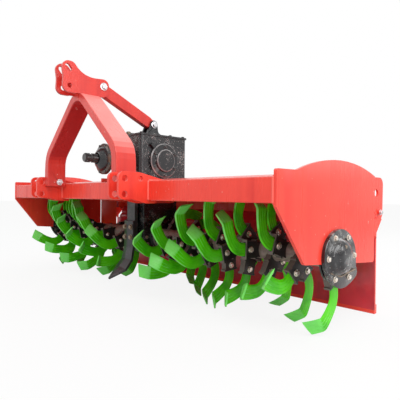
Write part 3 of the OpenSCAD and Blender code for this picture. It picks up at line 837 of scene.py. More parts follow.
class Finishes:
    """Every finish of the machine, made once."""

    def __init__(self, places: Places) -> None:
        """Make the materials.

        Args:
            places: Where the rotor's axis is.
        """
        middle = places.at(0, places.axis_y, places.axis_z)
        axis = (0.0, middle.y, middle.z)
        # The welds' brighter pink is a painted highlight.
        dull, mast_deeper_red, weld_glint_pink = (0.74, 0.050, 0.036), (0.60, 0.030, 0.026), (1.0, 0.16, 0.12)
        soot, iron, grey = (0.03, 0.03, 0.03), (0.022, 0.023, 0.025), (0.24, 0.24, 0.24)
        brown, oily = (0.06, 0.035, 0.022), (0.016, 0.015, 0.015)
        self.red = RedEnamel().make()
        # The end plates carry a painted pale reflection along their tops.
        self.plate_red = RedEnamel("plate_enamel", top_sheen=0.36, run_waves=15.0).make()
        # Mast, top link plates and stay: darker reds, with strong painted sky reflection on what faces up
        # and strong painted shade on what faces down.
        self.mast_red = RedEnamel("mast_enamel", dull, mast_deeper_red, sky_sheen=0.85, shade=0.85).make()
        # Welds: brighter pink for the glints along the beads, a painted highlight, and painted sky
        # reflection on what faces up.
        self.weld_red = RedEnamel("weld_enamel", weld_glint_pink, sky_sheen=0.6, gloss=0.2).make()
        self.board = ShadedBoardEnamel().make()
        self.green = GreenEnamel(axis=axis).make()
        self.black_bolt = CastEnamel("black_bolt", soot, wear=0.9, rust_share=0.1, smear=0.5).make()
        self.brassy = Metal("blade_bolt", (0.86, 0.80, 0.72), (0.40, 0.26, 0.16), 0.9, 0.24, 0.75).make()
        self.cast = CastEnamel().make()
        self.cast_rubbed = CastEnamel("cast_rubbed", wear=1.0, rust_share=0.0, smear=0.06).make()
        self.chisel = CastEnamel("chisel_enamel", iron, wear=0.2, rust_share=0.0, polish=0.36).make()
        self.edge = CastEnamel("grey_edge_band", grey, wear=0.9, rust_share=0.0, smear=0.8).make()
        self.cast_rusty = CastEnamel(
            "cast_rusty", wear=0.6, rust_share=0.22, polish=0.15, smear=0.30, grains=90.0
        ).make()
        self.flange = CastEnamel("rusty_flange", brown, wear=0.7, rust_share=0.9, smear=0.3).make()
        self.tube = TubeEnamel(axis=axis).make()
        self.shaft = CastEnamel("shaft_enamel", oily, wear=0.6, rust_share=0.15, polish=0.32).make()
        self.zinc = Metal("zinc_plate", (0.72, 0.72, 0.74), (0.40, 0.36, 0.32), 0.95, 0.28, 0.35).make()
        self.old_bolt = Metal("old_bolt", (0.30, 0.24, 0.18), (0.22, 0.11, 0.05), 0.7, 0.42, 0.7).make()

    def dress(
        self, nodes: Sequence[str], material: Material, slot: Slot, round_edge: float = 0.0
    ) -> None:
        """Give CAD nodes a finish, and round their edges where asked.

        Args:
            nodes: Names of the nodes.
            material: The finish.
            slot: Not used.
            round_edge: Width of the rounding in millimetres, or 0.
        """
        for name in nodes:
            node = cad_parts[name]
            node.data.materials.clear()
            node.data.materials.append(material)
            node.data.polygons.foreach_set("material_index", [0] * len(node.data.polygons))
            if round_edge:
                self._round(node, round_edge)
            log.info("%s: %s", name, material.name)

    @staticmethod
    def _round(node: bpy.types.Object, width: float) -> None:
        """Join a node's doubled vertices and round its edges, with modifiers.

        Args:
            node: The node.
            width: Width of the rounding in millimetres.
        """
        join = node.modifiers.new("join", "WELD")
        join.merge_threshold = 0.00002
        bevel = node.modifiers.new("round", "BEVEL")
        bevel.width = width * MM
        bevel.segments = 2
        bevel.limit_method = "ANGLE"
        bevel.angle_limit = math.radians(35)
        bevel.harden_normals = True


# Sub-assemblies


@dataclass
class Assembly:
    """A sub-assembly in its place, with the machine's finishes."""

    places: Places
    finishes: Finishes


@dataclass
class Framework(Assembly):
    """Beam, end plates, hood, rear tube and cheek plates, with their welds."""

    edge: float = 1.2
    beam_edge: float = 5.0

    def build(self) -> None:
        """Dress the nodes and add the welds."""
        f = self.finishes
        f.dress(["front_beam", "rear_tube"], f.red, Slot.RED, self.beam_edge)
        f.dress(["hood", "cheek_plates"], f.red, Slot.RED, self.edge)
        f.dress(["end_plate_left", "end_plate_right"], f.plate_red, Slot.RED, self.edge)
        self._welds()

    def _welds(self) -> None:
        """Beads where the beam meets the end plates and the hood."""
        at, beads = self.places.at, Mesh()
        half, beam = self.places.inner_half, self.places.beam
        top = beam / 2
        for side in (-1, 1):
            x = side * (half - 1.5)
            for a, b in (((0, -top), (0, top)), ((0, top), (beam, top)), ((beam, -top), (0, -top))):
                beads.weld(at(x, *a), at(x, *b), 3.6)
        beads.weld(at(-half, beam, top - 4), at(half, beam, top - 4), 2.6, 7)
        beads.piece("frame_welds", self.finishes.weld_red, Body.FRAME, Slot.RED)


@dataclass
class Hitch(Assembly):
    """Hitch plates, mast, top link plates and stay, with bolts and welds.

    Attributes:
        span: Distance between the middles of the two pairs of hitch plates.
        pair: Distance between the plates of a pair.
        plate_t: Thickness of a plate.
        mast_t: Width of the mast's foot.
        foot: Y and Z of the bolt through the mast's foot.
        lug_half: From the middle to the bolt's seats on the stay lug.
        spacer: Start and length of the spacers beside the stay, and their radius.
    """

    span: float = 683.0
    pair: float = 63.0
    plate_t: float = 12.0
    mast_t: float = 34.0
    foot: tuple[float, float] = (-32.0, 40.0)
    lug_half: float = 25.6
    spacer: Point = (15.5, 7.6, 17.0)

    def build(self) -> None:
        """Dress the nodes, then add fasteners and welds."""
        f = self.finishes
        f.dress(["hitch_plates_left", "hitch_plates_right"], f.red, Slot.RED, 1.5)
        f.dress(["top_link_plates"], f.mast_red, Slot.RED, 1.5)
        f.dress(["mast", "stay"], f.mast_red, Slot.RED, 4.0)
        self._pins()
        self._foot_bolts()
        self._welds()

    def _pins(self) -> None:
        """Hexagon bolts in place of the plain pins of the stay."""
        low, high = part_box("stay_pins")
        _, lug_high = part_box("stay_lug")
        front = Vector((0, low.y + 0.017, high.z - 0.017))
        rear = Vector((0, high.y - 0.015, lug_high.z - 0.020))
        left, pins = Vector((1, 0, 0)), Mesh()
        for seat, reach in ((front, high.x / MM - 9.0), (rear, self.lug_half)):
            pins.lathe(seat - left * (reach * MM), left, [(10, 0), (10, 2 * reach)], 24)
            pins.bolt(seat + left * (reach * MM), left, 22, 12)
            pins.nut(seat - left * (reach * MM), -left, 17, 5, 0.6)
        start, length, r = self.spacer
        for k in (-1, 1):
            pins.lathe(front + left * (k * start * MM), left * k, [(r, 0), (r, length)], 28)
        made = pins.piece("stay_bolts", self.finishes.zinc, Body.FRAME, Slot.ZINC)
        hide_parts("stay_pins")

    def _foot_bolts(self) -> None:
        """Bolts through the mast's feet."""
        at, bolts = self.places.at, Mesh()
        outer = self.span / 2 - self.pair / 2 + self.plate_t / 2
        inner = outer - self.plate_t - self.mast_t
        for side in (-1, 1):
            out = Vector((side, 0, 0))
            bolts.bolt(at(side * outer, *self.foot), out, 26, 20)
            bolts.nut(at(side * inner, *self.foot), -out, 26, 8, 9)
            bolts.lathe(at(side * inner, *self.foot), out, [(9.8, 0), (9.8, outer - inner)], 20)
        bolts.piece("mast_foot_bolts", self.finishes.zinc, Body.FRAME, Slot.ZINC)

    def _welds(self) -> None:
        """Beads where the hitch plates stand on the beam."""
        at, beads = self.places.at, Mesh()
        half = self.places.beam / 2
        for side in (-1, 1):
            for k in (-1, 1):
                middle = side * self.span / 2 + k * self.pair / 2
                for face in (-1, 1):
                    x = middle + face * (self.plate_t / 2 + 1.5)
                    beads.weld(at(x, -1, -half + 2), at(x, -1, half), 4.2, 7.5)
                    beads.weld(at(x, 0, half + 1), at(x, 2 * half, half + 1), 4.2, 7.5)
        beads.piece("hitch_welds", self.finishes.weld_red, Body.FRAME, Slot.RED)


@dataclass
class Gearbox(Assembly):
    """Gearbox, covers, input housing and shaft, lower case.

    Attributes:
        half_width: From the middle to the face under a side cover.
        length: Length of the gearbox.
        front: Y of its front face.
        cover_y: Y of the side covers' middle.
        shaft_up: The shafts over the case's underside.
        ring_t: Thickness of a side cover's ring.
        ring_bolt_r: Radius of the bolts on that ring.
        flange_y: Y of the input flange's front face.
        flange_bolt_r: Radius of the bolts on the flange.
        dome_bore: Radius of the dome's opening.
        dome: Skin of the dome round that opening; columns: radius, height.
        lid_t: Thickness of the lid, and of the stay lug's foot on it.
        bolt_x: X of the lid's bolts along its front and back; the first and last carry on down its sides.
        breather: Skin of the breather; columns: radius, height.
        case_bolt_r: Radius of the bolts through the lower case's rim.
        rims: Grey bands on the edges of a side cover's ring; each is a ring's section, of radius and
            height.
    """

    half_width: float = 114.0
    length: float = 253.0
    front: float = 149.0
    cover_y: float = 269.0
    shaft_up: float = 79.0
    ring_t: float = 14.0
    ring_bolt_r: float = 62.0
    flange_y: float = 36.0
    flange_bolt_r: float = 58.0
    dome_bore: float = 23.4
    dome: Pairs = ((52, -0.5), (50, 6), (44, 14), (36, 20), (30, 24), (26, 27))
    lid_t: float = 8.0
    bolt_x: tuple[float, ...] = (-102, -34, 34, 102)
    breather: Pairs = ((12, -1), (12, 10), (9, 10), (9, 18), (11, 19), (11, 26), (8, 29))
    case_bolt_r: float = 77.28
    rims: tuple[Pairs, ...] = (
        ((70.0, 14.0), (74.0, 10.0), (74.5, 10.3), (70.4, 14.5)),
        ((44.0, 24.0), (48.0, 21.0), (48.5, 21.4), (44.3, 24.6)),
    )

    def build(self) -> None:
        """Dress the nodes, then add fasteners and plugs."""
        f = self.finishes
        f.dress(["gearbox_case"], f.cast_rubbed, Slot.BLACK, 2.0)
        f.dress(["side_cover_left", "side_cover_right"], f.cast_rusty, Slot.BLACK, 1.0)
        f.dress(["gearbox_lid", "stay_lug"], f.cast, Slot.BLACK, 1.2)
        f.dress(["lower_case"], f.cast, Slot.BLACK, 3.0)
        f.dress(["input_housing"], f.flange, Slot.BLACK, 1.0)
        f.dress(["input_shaft"], f.shaft, Slot.STEEL, 0.6)
        self._input_dome()
        self._cover_bolts()
        self._lid_bolts()
        self._case_bolts()

    def _input_dome(self) -> None:
        """A glossy dome over the input flange, open where the shaft turns."""
        dome = Mesh()
        foot = self.places.at(0, self.flange_y, self.places.box_z + self.shaft_up)
        foot_z, top_z = self.dome[0][1], self.dome[-1][1]
        profile = [(self.dome_bore, foot_z), *self.dome, (self.dome_bore, top_z)]
        dome.lathe(foot, Vector((0, -1, 0)), profile, 40, 0.0, True)
        dome.piece("input_dome", self.finishes.cast, Body.FRAME, Slot.BLACK, 50)

    def _cover_bolts(self) -> None:
        """Six bolts round each side cover, and the input flange's ring."""
        at, bolts, rims = self.places.at, Mesh(), Mesh()
        shaft = self.places.box_z + self.shaft_up
        for side in (-1, 1):
            out = Vector((side, 0, 0))
            for edge in self.rims:
                rims.lathe(at(side * self.half_width, self.cover_y, shaft), out, edge, 64, 0.0, True)
            for k in range(6):
                a = math.radians(30 + 60 * k)
                y, z = self.ring_bolt_r * math.cos(a), self.ring_bolt_r * math.sin(a)
                seat = at(side * (self.half_width + self.ring_t), self.cover_y + y, shaft + z)
                bolts.bolt(seat, out, 13, 17 * k)
        for k in range(8):
            a = math.radians(22.5 + 45 * k)
            x, z = self.flange_bolt_r * math.cos(a), self.flange_bolt_r * math.sin(a)
            bolts.bolt(at(x, self.flange_y + 1, shaft + z), Vector((0, -1, 0)), 11, 23 * k, False)
        bolts.piece("gearbox_bolts", self.finishes.black_bolt, Body.FRAME, Slot.BLACK)
        rims.piece("cover_rims", self.finishes.edge, Body.FRAME, Slot.BLACK)

    def _lid_bolts(self) -> None:
        """Bolts along the lid's edge, a breather and the lug's four bolts."""
        at, bolts = self.places.at, Mesh()
        top = self.places.box_top + self.lid_t
        up = Vector((0, 0, 1))
        for x in self.bolt_x:
            for y in (self.front + 12, self.front + self.length - 12):
                bolts.bolt(at(x, y, top), up, 13, x)
        for y in (self.front + 84, self.front + 168):
            for x in (self.bolt_x[0], self.bolt_x[-1]):
                bolts.bolt(at(x, y, top), up, 13, y)
        lug_low, lug_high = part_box("stay_lug")
        for x in (lug_low.x + 0.0085, lug_high.x - 0.0085):
            for y in (lug_low.y + 0.016, lug_high.y - 0.016):
                bolts.bolt(Vector((x, y, at(0, 0, top + self.lid_t).z)), up, 13, 9)
        bolts.piece("lid_bolts", self.finishes.black_bolt, Body.FRAME, Slot.BLACK)
        plug = Mesh()
        plug.lathe(at(-70, self.front + 60, top), up, self.breather, 18)
        plug.piece("breather", self.finishes.old_bolt, Body.FRAME, Slot.BLACK)

    def _case_bolts(self) -> None:
        """Bolts through the lower case's rim."""
        p, bolts = self.places, Mesh()
        for side in (-1, 1):
            out = Vector((side, 0, 0))
            for k in range(9):
                a = math.radians(180 + 22.5 * k)
                y, z = self.case_bolt_r * math.cos(a), self.case_bolt_r * math.sin(a)
                seat = p.at(side * 60, p.axis_y + y, p.axis_z + z)
                bolts.bolt(seat, out, 13, 11 * k, False)
        bolts.piece("case_bolts", self.finishes.old_bolt, Body.FRAME, Slot.BLACK)


@dataclass
class EndHousings(Assembly):
    """Bearing housings: a bolted egg-shaped cover with a dome, and a tower over the shaft's end.

    Attributes:
        sides: Points round a ring.
        flange_t: Thickness of the flange inside the end plate; flange_r is its radius.
        neck_r: Radius of the neck through the end plate.
        bore_r: Radius of the shaft's bore; bore_end is its blind end over the plate's outer face.
        cover_t: Thickness of the cover's rim.
        plug_up: The plug's seat over the plate's outer face; plug is its Y and Z from the rotor's axis.
        bolts: Columns: Y, Z from the rotor's axis.
        rim: Outline of the cover; columns: degrees from +Y towards +Z, radius.
        dome: Outline of the dome's foot; columns as in rim.
        tower: Outline of the tower; columns as in rim.
        levels: Skin of the cover; columns: height over the plate, outline, share of it, less.
        seam: A seam across the foot of the cover; columns: Y, Z from the rotor's axis.
    """

    sides: int = 56
    flange_t: float = 6.0
    flange_r: float = 75.0
    neck_r: float = 50.0
    bore_r: float = 22.8
    bore_end: float = 11.0
    cover_t: float = 12.0
    plug_up: float = 31.0
    rim: Pairs = (
        (0, 99.5), (20, 98), (40, 94), (60, 90), (80, 88), (100, 86), (120, 86), (150, 88), (180, 86),
        (210, 81), (240, 82), (260, 88), (275, 92), (300, 101), (318, 112), (326, 120), (332, 124),
        (337, 115), (342, 105), (350, 101))
    dome: Pairs = (
        (0, 62), (45, 60), (75, 58), (105, 60), (135, 62), (180, 62), (220, 60), (250, 51), (270, 48),
        (290, 51), (320, 60))
    tower: Pairs = (
        (0, 36), (45, 44), (75, 50), (100, 54), (125, 50), (150, 40), (180, 34), (220, 36), (250, 42),
        (290, 42), (320, 38))
    levels: tuple[tuple[float, str, float, float], ...] = (
        (0.0, "rim", 1.0, 0.0), (10.0, "rim", 1.0, 0.0), (12.0, "rim", 1.0, 3.0),
        (12.2, "dome", 1.05, 0.0), (16.0, "dome", 1.0, 0.0), (20.5, "dome", 0.96, 0.0),
        (23.5, "dome", 0.90, 0.0), (25.5, "tower", 1.05, 0.0), (30.0, "tower", 0.96, 0.0),
        (33.5, "tower", 0.86, 0.0), (35.5, "tower", 0.72, 0.0), (36.5, "tower", 0.5, 0.0))
    seam: Pairs = ((-55, -39), (4, -55), (93, -42))
    bolts: Pairs = ((-30, 62), (46, 60), (-67, 3), (84, 2), (-30, -60), (52, -62))
    plug: tuple[float, float] = (-9.0, 37.0)

    def build(self) -> None:
        """Cast the housings and add their bolts."""
        f, p = self.finishes, self.places
        bolts, plugs = Mesh(), Mesh()
        face = p.inner_half + p.plate_t
        for side, word in ((1, "left"), (-1, "right")):
            out = Vector((side, 0, 0))
            housing = Mesh()
            housing.rings(self._rings(side, face))
            made = housing.piece(f"end_cover_{word}", f.cast_rusty, Body.FRAME, Slot.BLACK, 55)
            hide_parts(f"bearing_housing_{word}")
            for y, z in self.bolts:
                bolts.bolt(p.at(side * (face + self.cover_t), p.axis_y + y, p.axis_z + z), out, 13, y)
            seat = p.at(side * (face + self.plug_up), p.axis_y + self.plug[0], p.axis_z + self.plug[1])
            plugs.lathe(seat, out, [(7, 0), (7, 2.6), (5.4, 3.6), (5.4, 5.4), (4.6, 6.2)], 6)
            x = side * (face + self.cover_t + 0.4)
            trail = [p.at(x, p.axis_y + y, p.axis_z + z) for y, z in self.seam]
            plugs.tube(trail, [2.2] * len(trail), 6)
        bolts.piece("housing_bolts", f.brassy, Body.FRAME, Slot.ZINC)
        plugs.piece("housing_plugs", f.old_bolt, Body.FRAME, Slot.BLACK)

    def _rings(self, side: int, face: float) -> list[list[Vector]]:
        """Rings from the blind end of the shaft's bore, round the flange, to the top of the tower.

        Args:
            side: 1 on the machine's left, -1 on its right.
            face: Outer face of the end plate, in millimetres from the middle.

        Returns:
            The rings, all turning about the way out.
        """
        p = self.places
        angles = [360.0 * k / self.sides for k in range(self.sides)]
        inner = -p.plate_t
        back = inner - self.flange_t
        turned = (
            (self.bore_r, self.bore_end), (self.bore_r, back), (self.flange_r, back),
            (self.flange_r, inner), (self.neck_r, inner), (self.neck_r, 0.0))
        outlines = [(height, [radius] * self.sides) for radius, height in turned]
        for height, outline, share, less in self.levels:
            table = np.array(getattr(self, outline))
            radii = np.interp(angles, table[:, 0], table[:, 1], period=360)
            outlines.append((height, [radius * share - less for radius in radii]))
        rings = []
        for height, radii in outlines:
            ring = [
                p.at(side * (face + height), p.axis_y + r * math.cos(a), p.axis_z + r * math.sin(a))
                for a, r in zip(np.radians(angles), radii)
            ]
            rings.append(ring if side > 0 else list(reversed(ring)))
        return rings


@dataclass
class Rotor(Assembly):
    """Tube with holders, and the forged blades that stand in for the plain ones.

    Attributes:
        count: Blades of one half.
        first_x: X of the first blade.
        last_gap: From the last blade to the end plate.
        group_turn: Turn from one group of blades to the next, in degrees.
        groups: One group of blades; columns: angle, side to which the tip folds.
        thick: Thickness of a blade.
        floor: Radius of a blade's root.
        bolt_r: Radius of a blade's bolt; bolt_flats is its width over the flats.
        cheek_t: Thickness of a holder's cheek beside the blade.
        stages: Columns: length, turn in the plane of rotation, sideways bend, rings.
        widths: Columns: run, width outside and inside of the middle line.
        skew: Slant of the blade's end over half its width.
        taper: Share of its thickness that the blade loses by its end.
        outline: One face of a blade's section; columns: across, height, as shares of the halves.
    """

    count: int = 29
    first_x: float = 119.0
    last_gap: float = 22.0
    group_turn: float = -17.0
    groups: tuple[tuple[float, int], ...] = ((49.0, -1), (325.5, 1), (205.0, 1), (245.0, -1))
    thick: float = 9.0
    floor: float = 48.5
    bolt_r: float = 78.0
    bolt_flats: float = 16.0
    cheek_t: float = 6.3
    stages: tuple[tuple[float, float, float, int], ...] = (
        (57.0, 0.0, 0.0, 2), (68.0, 60.0, 0.0, 10), (56.0, 14.0, 0.0, 4), (10.0, 3.0, 44.0, 2),
        (44.0, 6.0, 8.0, 4))
    widths: tuple[tuple[float, float, float], ...] = (
        (0, 22.5, 22.5), (57, 22, 22), (125, 22, 23), (181, 24.5, 24.5), (193, 25, 26), (235, 22, 28))
    skew: float = 9.0
    taper: float = 0.35
    outline: Pairs = (
        (-1.0, 0.10), (-0.70, 0.78), (-0.40, 0.90), (-0.36, 0.76), (-0.32, 0.92), (0.06, 0.97),
        (0.10, 0.82), (0.14, 0.98), (0.52, 1.0), (0.56, 0.86), (0.60, 1.0), (0.93, 0.96), (1.0, 0.62))

    def build(self) -> None:
        """Dress the rotor and forge its blades."""
        f = self.finishes
        f.dress(["rotor_shaft"], f.shaft, Slot.STEEL)
        f.dress(["rotor_tube_left", "rotor_tube_right"], f.tube, Slot.STEEL, 0.8)
        rings = self._rings()
        log.info("blade reach %.2f mm", max(math.hypot(p[0], p[1]) for ring in rings for p in ring))
        for side, word in ((1, "left"), (-1, "right")):
            blades, bolts = Mesh(), Mesh()
            for x, angle, lean in self._stations():
                ring_points = [[self._turned(p, angle, x, side, lean) for p in ring] for ring in rings]
                if side * lean < 0:
                    ring_points = [list(reversed(ring)) for ring in ring_points]
                blades.rings(ring_points)
                for face, make in ((1, bolts.bolt), (-1, bolts.nut)):
                    local = (self.bolt_r, 0.0, face * (self.thick / 2 + self.cheek_t))
                    seat = self._turned(local, angle, x, side, 1)
                    make(seat, Vector((side * face, 0, 0)), self.bolt_flats, angle)
            made = blades.piece(f"forged_blades_{word}", f.green, Body.ROTOR, Slot.GREEN, 16)
            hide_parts(f"blades_{word}")
            bolts.piece(f"blade_bolts_{word}", f.brassy, Body.ROTOR, Slot.STEEL)

    def _stations(self) -> Iterable[tuple[float, float, int]]:
        """Find the place of each blade.

        Returns:
            X, angle in degrees and lean of each.
        """
        last = self.places.inner_half - self.last_gap
        for i in range(self.count):
            group, member = divmod(i, len(self.groups))
            angle, lean = self.groups[member]
            x = self.first_x + (last - self.first_x) * i / (self.count - 1)
            yield x, angle + self.group_turn * group, lean

    def _turned(self, local: Point, angle: float, x: float, side: int, lean: int) -> Vector:
        """Bring a point of a blade's own frame to its station.

        Args:
            local: Radial, tangential, along the rotor.
            angle: The station's angle, in degrees.
            x: The station's X.
            side: 1 on the machine's left, -1 on its right.
            lean: Side to which the tip folds.

        Returns:
            The point, in row metres.
        """
        c, s = math.cos(math.radians(angle)), math.sin(math.radians(angle))
        radial, tangent, along = local
        return self.places.at(
            side * (x + along * lean),
            self.places.axis_y + radial * c - tangent * s,
            self.places.axis_z + radial * s + tangent * c,
        )

    def _rings(self) -> list[list[Point]]:
        """Sections of one blade, from its root to its tip.

        Returns:
            Rings of points: radial, tangential, along the rotor.
        """
        steps = [
            (length / n, turn / n, fold / n) for length, turn, fold, n in self.stages for _ in range(n)
        ]
        centre, turn, fold = np.array([self.floor, 0.0, 0.0]), 0.0, 0.0
        rings = [self._section(centre, turn, fold, 0.0)]
        run = 0.0
        for length, d_turn, d_fold in steps:
            t, f = math.radians(turn + d_turn / 2), math.radians(fold + d_fold / 2)
            level = math.cos(f)
            centre = centre + length * np.array([math.cos(t) * level, -math.sin(t) * level, math.sin(f)])
            turn, fold, run = turn + d_turn, fold + d_fold, run + length
            rings.append(self._section(centre, turn, fold, run))
        return rings

    def _section(self, centre: np.ndarray, turn: float, fold: float, run: float) -> list[Point]:
        """One section of the blade: grooves, a ground cutting edge and a slanted end.

        Args:
            centre: Middle of the section.
            turn: Turn in the plane of rotation, in degrees.
            fold: Sideways fold, in degrees.
            run: Length from the root.

        Returns:
            The section's points.
        """
        a, f = math.radians(turn), math.radians(fold)
        across = np.array([math.sin(a), math.cos(a), 0.0])
        ahead = np.array([math.cos(a) * math.cos(f), -math.sin(a) * math.cos(f), math.sin(f)])
        through = np.array([-math.cos(a) * math.sin(f), math.sin(a) * math.sin(f), math.cos(f)])
        table, whole = np.array(self.widths), sum(stage[0] for stage in self.stages)
        halves = [float(np.interp(run, table[:, 0], table[:, k])) for k in (2, 1)]
        tip = self.widths[-2][0]
        slant = self.skew * max(0.0, (run - tip) / (whole - tip))
        thin = self.thick / 2 * (1 - self.taper * slant / self.skew)
        loop = [(s, -t) for s, t in self.outline] + [(s, t) for s, t in reversed(self.outline)]
        return [
            tuple(centre + across * s * halves[s > 0] - ahead * s * slant + through * t * thin)
            for s, t in loop
        ]


@dataclass
class Chisel(Assembly):
    """Chisel and its shank.

    Attributes:
        bolt_x: X of the bolts, on both sides.
        bolt_z: Heights of the bolts.
        bolt_out: From the shank's front to the bolts' seats.
    """

    bolt_x: float = 22.5
    bolt_z: tuple[float, float] = (-155.0, -200.0)
    bolt_out: float = 15.0

    def build(self) -> None:
        """Dress the nodes and add four bolts."""
        f = self.finishes
        f.dress(["chisel_shank", "chisel_share"], f.chisel, Slot.BLACK, 1.2)
        shank_low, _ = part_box("chisel_shank")
        bolts = Mesh()
        for x in (-self.bolt_x, self.bolt_x):
            for z in self.bolt_z:
                seat = self.places.at(x, 0, z)
                seat.y = shank_low.y - self.bolt_out * MM
                bolts.bolt(seat, Vector((0, -1, 0)), 17, x + z)
        bolts.piece("chisel_bolts", f.old_bolt, Body.FRAME, Slot.BLACK)


@dataclass
class RearEnd(Assembly):
    """Rear board and the brackets that carry its hinge.

    Attributes:
        bolt: Seat of the bolt on each bracket.
        flap: Outline of the flap on each end of the board; columns: Y, Z.
        flap_x: Inner and outer face of the flap.
        skirt: Sheet from each end plate to its bracket; columns: X, Y, height of its top.
        skirt_foot: Height of that sheet's lower edge.
        turn_in: Plan of the sheet from each bracket to the hood's lip; columns: X, Y.
        turn_heights: Lower and upper edge of that sheet.
        strip: Section of the strip that carries the hood's lip on down; columns: Y, Z.
        strip_half: Half of the strip's length.
    """

    bolt: Point = (882.0, 703.0, -72.0)
    flap: Pairs = ((655, -166), (645, -150), (645, -94), (697, -90), (704, -98), (663, -146), (663, -166))
    flap_x: tuple[float, float] = (880.0, 886.0)
    skirt: tuple[Point, ...] = ((914, 549, 34), (868, 638, 9), (871, 640, 9), (918, 551, 34))
    skirt_foot: float = -222.0
    turn_in: Pairs = ((842, 638), (868, 638), (868, 641), (845, 641), (843, 688), (840, 688))
    turn_heights: tuple[float, float] = (-94.0, 10.0)
    strip: Pairs = ((684, -88), (689, -92), (664, -128), (660, -126))
    strip_half: float = 842.0

    def build(self) -> None:
        """Dress the nodes and add the brackets' bolts, the flaps and the skirts."""
        f = self.finishes
        f.dress(["rear_bracket_left", "rear_bracket_right"], f.red, Slot.RED, 1.2)
        # The board's maroon is painted shade.
        f.dress(["rear_board"], f.board, Slot.RED, 1.2)
        at, bolts, flaps, skirts = self.places.at, Mesh(), Mesh(), Mesh()
        bolt_x, bolt_y, bolt_z = self.bolt
        for side in (-1, 1):
            bolts.bolt(at(side * bolt_x, bolt_y, bolt_z), Vector((side, 0, 0)), 15, 14)
            faces = [[at(side * x, y, z) for y, z in self.flap] for x in self.flap_x]
            flaps.rings(faces if side > 0 else [list(reversed(face)) for face in faces])
            foot = [at(side * x, y, self.skirt_foot) for x, y, _ in self.skirt]
            skirts.rings([foot, [at(side * x, y, z) for x, y, z in self.skirt]])
            skirts.rings([[at(side * x, y, z) for x, y in self.turn_in] for z in self.turn_heights])
        ends = (-self.strip_half, self.strip_half)
        skirts.rings([[at(x, y, z) for y, z in self.strip] for x in ends])
        # The sheets take the board's maroon painted shade.
        skirts.piece("hood_skirts", f.board, Body.FRAME, Slot.RED)
        bolts.piece("bracket_bolts", f.zinc, Body.FRAME, Slot.ZINC)
        flaps.piece("board_flaps", f.red, Body.BOARD, Slot.RED)


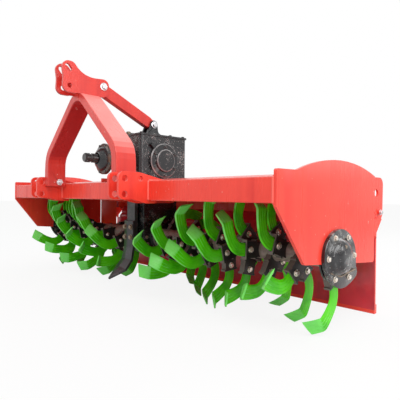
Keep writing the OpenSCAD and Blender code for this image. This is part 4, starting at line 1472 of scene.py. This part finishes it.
@dataclass
class Studio:
    """Pale floor, soft lamps and the photograph's camera.

    Attributes:
        eye: Row X and Y, and height above the beam's centre line, in metres.
        heading: Turn of the camera to the left of +Y, in degrees.
        pitch: Tilt of the camera down, in degrees.
        roll: Turn of the camera that lifts its right side, in degrees.
        lens: Focal length in millimetres; sensor is the sensor's width.
        world_light: Strength of the world as a light.
        floor_half: Half of the floor's width, in metres; floor_drop is its depth under the ground.
        glow: Share of white in what the camera sees of the floor.
        lamps: Columns: place, aim, width, height, power.
    """

    places: Places
    eye: Point = (1.57618, -1.14915, -0.01955)
    heading: float = 47.2375
    pitch: float = 0.4482
    roll: float = 0.5492
    lens: float = 37.757
    sensor: float = 36.0
    world_light: float = 0.62
    floor_half: float = 30.0
    floor_drop: float = 0.0005
    glow: float = 0.88
    lamps: tuple[tuple[Point, Point, float, float, float], ...] = (
        ((3.0, -2.2, 3.4), (0.2, 0.0, 0.4), 2.6, 1.8, 66.0),
        ((4.2, 0.4, 1.5), (0.9, 0.0, 0.4), 1.8, 1.6, 42.0),
        ((-2.6, -3.0, 2.4), (0.0, 0.0, 0.4), 2.0, 2.0, 16.0),
        ((1.0, 3.2, 2.6), (0.0, 0.2, 0.4), 2.4, 1.6, 30.0),
    )

    def build(self) -> None:
        """Make the floor, the lamps, the world and the camera."""
        bpy.context.scene.view_settings.view_transform = "Standard"
        self._camera()
        self._world()
        self._floor()
        for i, (place, aim, width, height, power) in enumerate(self.lamps):
            data = bpy.data.lights.new(f"softbox_{i}", "AREA")
            data.shape, data.size, data.size_y, data.energy = "RECTANGLE", width, height, power
            lamp = placed(data.name, data)
            lamp.location = place
            lamp.rotation_euler = (Vector(aim) - Vector(place)).to_track_quat("-Z", "Y").to_euler()

    def _camera(self) -> None:
        """Set the camera found from the photograph's corners."""
        h, p, r = (math.radians(a) for a in (self.heading, self.pitch, self.roll))
        forward = Vector((-math.sin(h) * math.cos(p), math.cos(h) * math.cos(p), -math.sin(p)))
        right = Vector((math.cos(h), math.sin(h), 0.0))
        up = right.cross(forward)
        across = right * math.cos(r) + up * math.sin(r)
        above = up * math.cos(r) - right * math.sin(r)
        data = bpy.data.cameras.new("camera")
        data.lens, data.sensor_width, data.sensor_fit = self.lens, self.sensor, "HORIZONTAL"
        data.clip_start, data.clip_end = 0.02, 60.0
        camera = placed("camera", data)
        camera.matrix_world = Matrix((
            (across.x, above.x, -forward.x, self.eye[0]),
            (across.y, above.y, -forward.y, self.eye[1]),
            (across.z, above.z, -forward.z, self.places.beam_middle + self.eye[2]),
            (0.0, 0.0, 0.0, 1.0),
        ))
        bpy.context.scene.camera = camera

    def _world(self) -> None:
        """White to the camera and in reflections, softer as a light."""
        s = Sheet("studio", world=True)
        bpy.context.scene.world = s.owner
        camera, glossy, through = (
            s.add("ShaderNodeLightPath", output=f"Is {kind} Ray")
            for kind in ("Camera", "Glossy", "Transmission")
        )
        seen = camera.larger(glossy.larger(through))
        levels = {"Value": seen, "To Min": self.world_light, "To Max": 1.0}
        strength = s.add("ShaderNodeMapRange", inputs=levels)
        white = s.add("ShaderNodeBackground", inputs={"Color": (1, 1, 1, 1), "Strength": strength})
        s.add("ShaderNodeOutputWorld", inputs={"Surface": white})

    def _floor(self) -> None:
        """A wide pale floor that keeps the machine's shadow."""
        s = Sheet("pale_floor")
        paint = s.add("ShaderNodeBsdfDiffuse", inputs={"Color": (0.95, 0.95, 0.95, 1.0)})
        glow = s.add("ShaderNodeEmission", inputs={"Color": (1, 1, 1, 1), "Strength": 1.0})
        path = s.add("ShaderNodeLightPath", output="Is Camera Ray")
        shown = s.add("ShaderNodeMixShader", inputs={0: path * self.glow, 1: paint, 2: glow})
        s.add("ShaderNodeOutputMaterial", inputs={"Surface": shown})
        mesh = bpy.data.meshes.new("floor")
        r = self.floor_half
        mesh.from_pydata([(-r, -r, 0), (r, -r, 0), (r, r, 0), (-r, r, 0)], [], [(0, 1, 2, 3)])
        mesh.materials.append(s.owner)
        floor = placed("floor", mesh)
        floor.location.z = -self.floor_drop
        floor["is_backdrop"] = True


def listed(box: tuple[Vector, Vector]) -> list[list[float]]:
    """A box as plain numbers."""
    return [[float(v) for v in corner] for corner in box]


def main() -> None:
    """Build every sub-assembly."""
    logging.basicConfig(level=logging.INFO, format="%(name)s: %(message)s")
    cad_box = listed(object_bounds())
    places = Places.from_nodes()
    finishes = Finishes(places)
    for assembly in (Framework, Hitch, Gearbox, EndHousings, Rotor, Chisel, RearEnd):
        log.info("building %s", assembly.__name__)
        assembly(places, finishes).build()
    Studio(places).build()
    {"cad": cad_box, "visual": listed(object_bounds())}


if __name__ == "__main__":
    main()
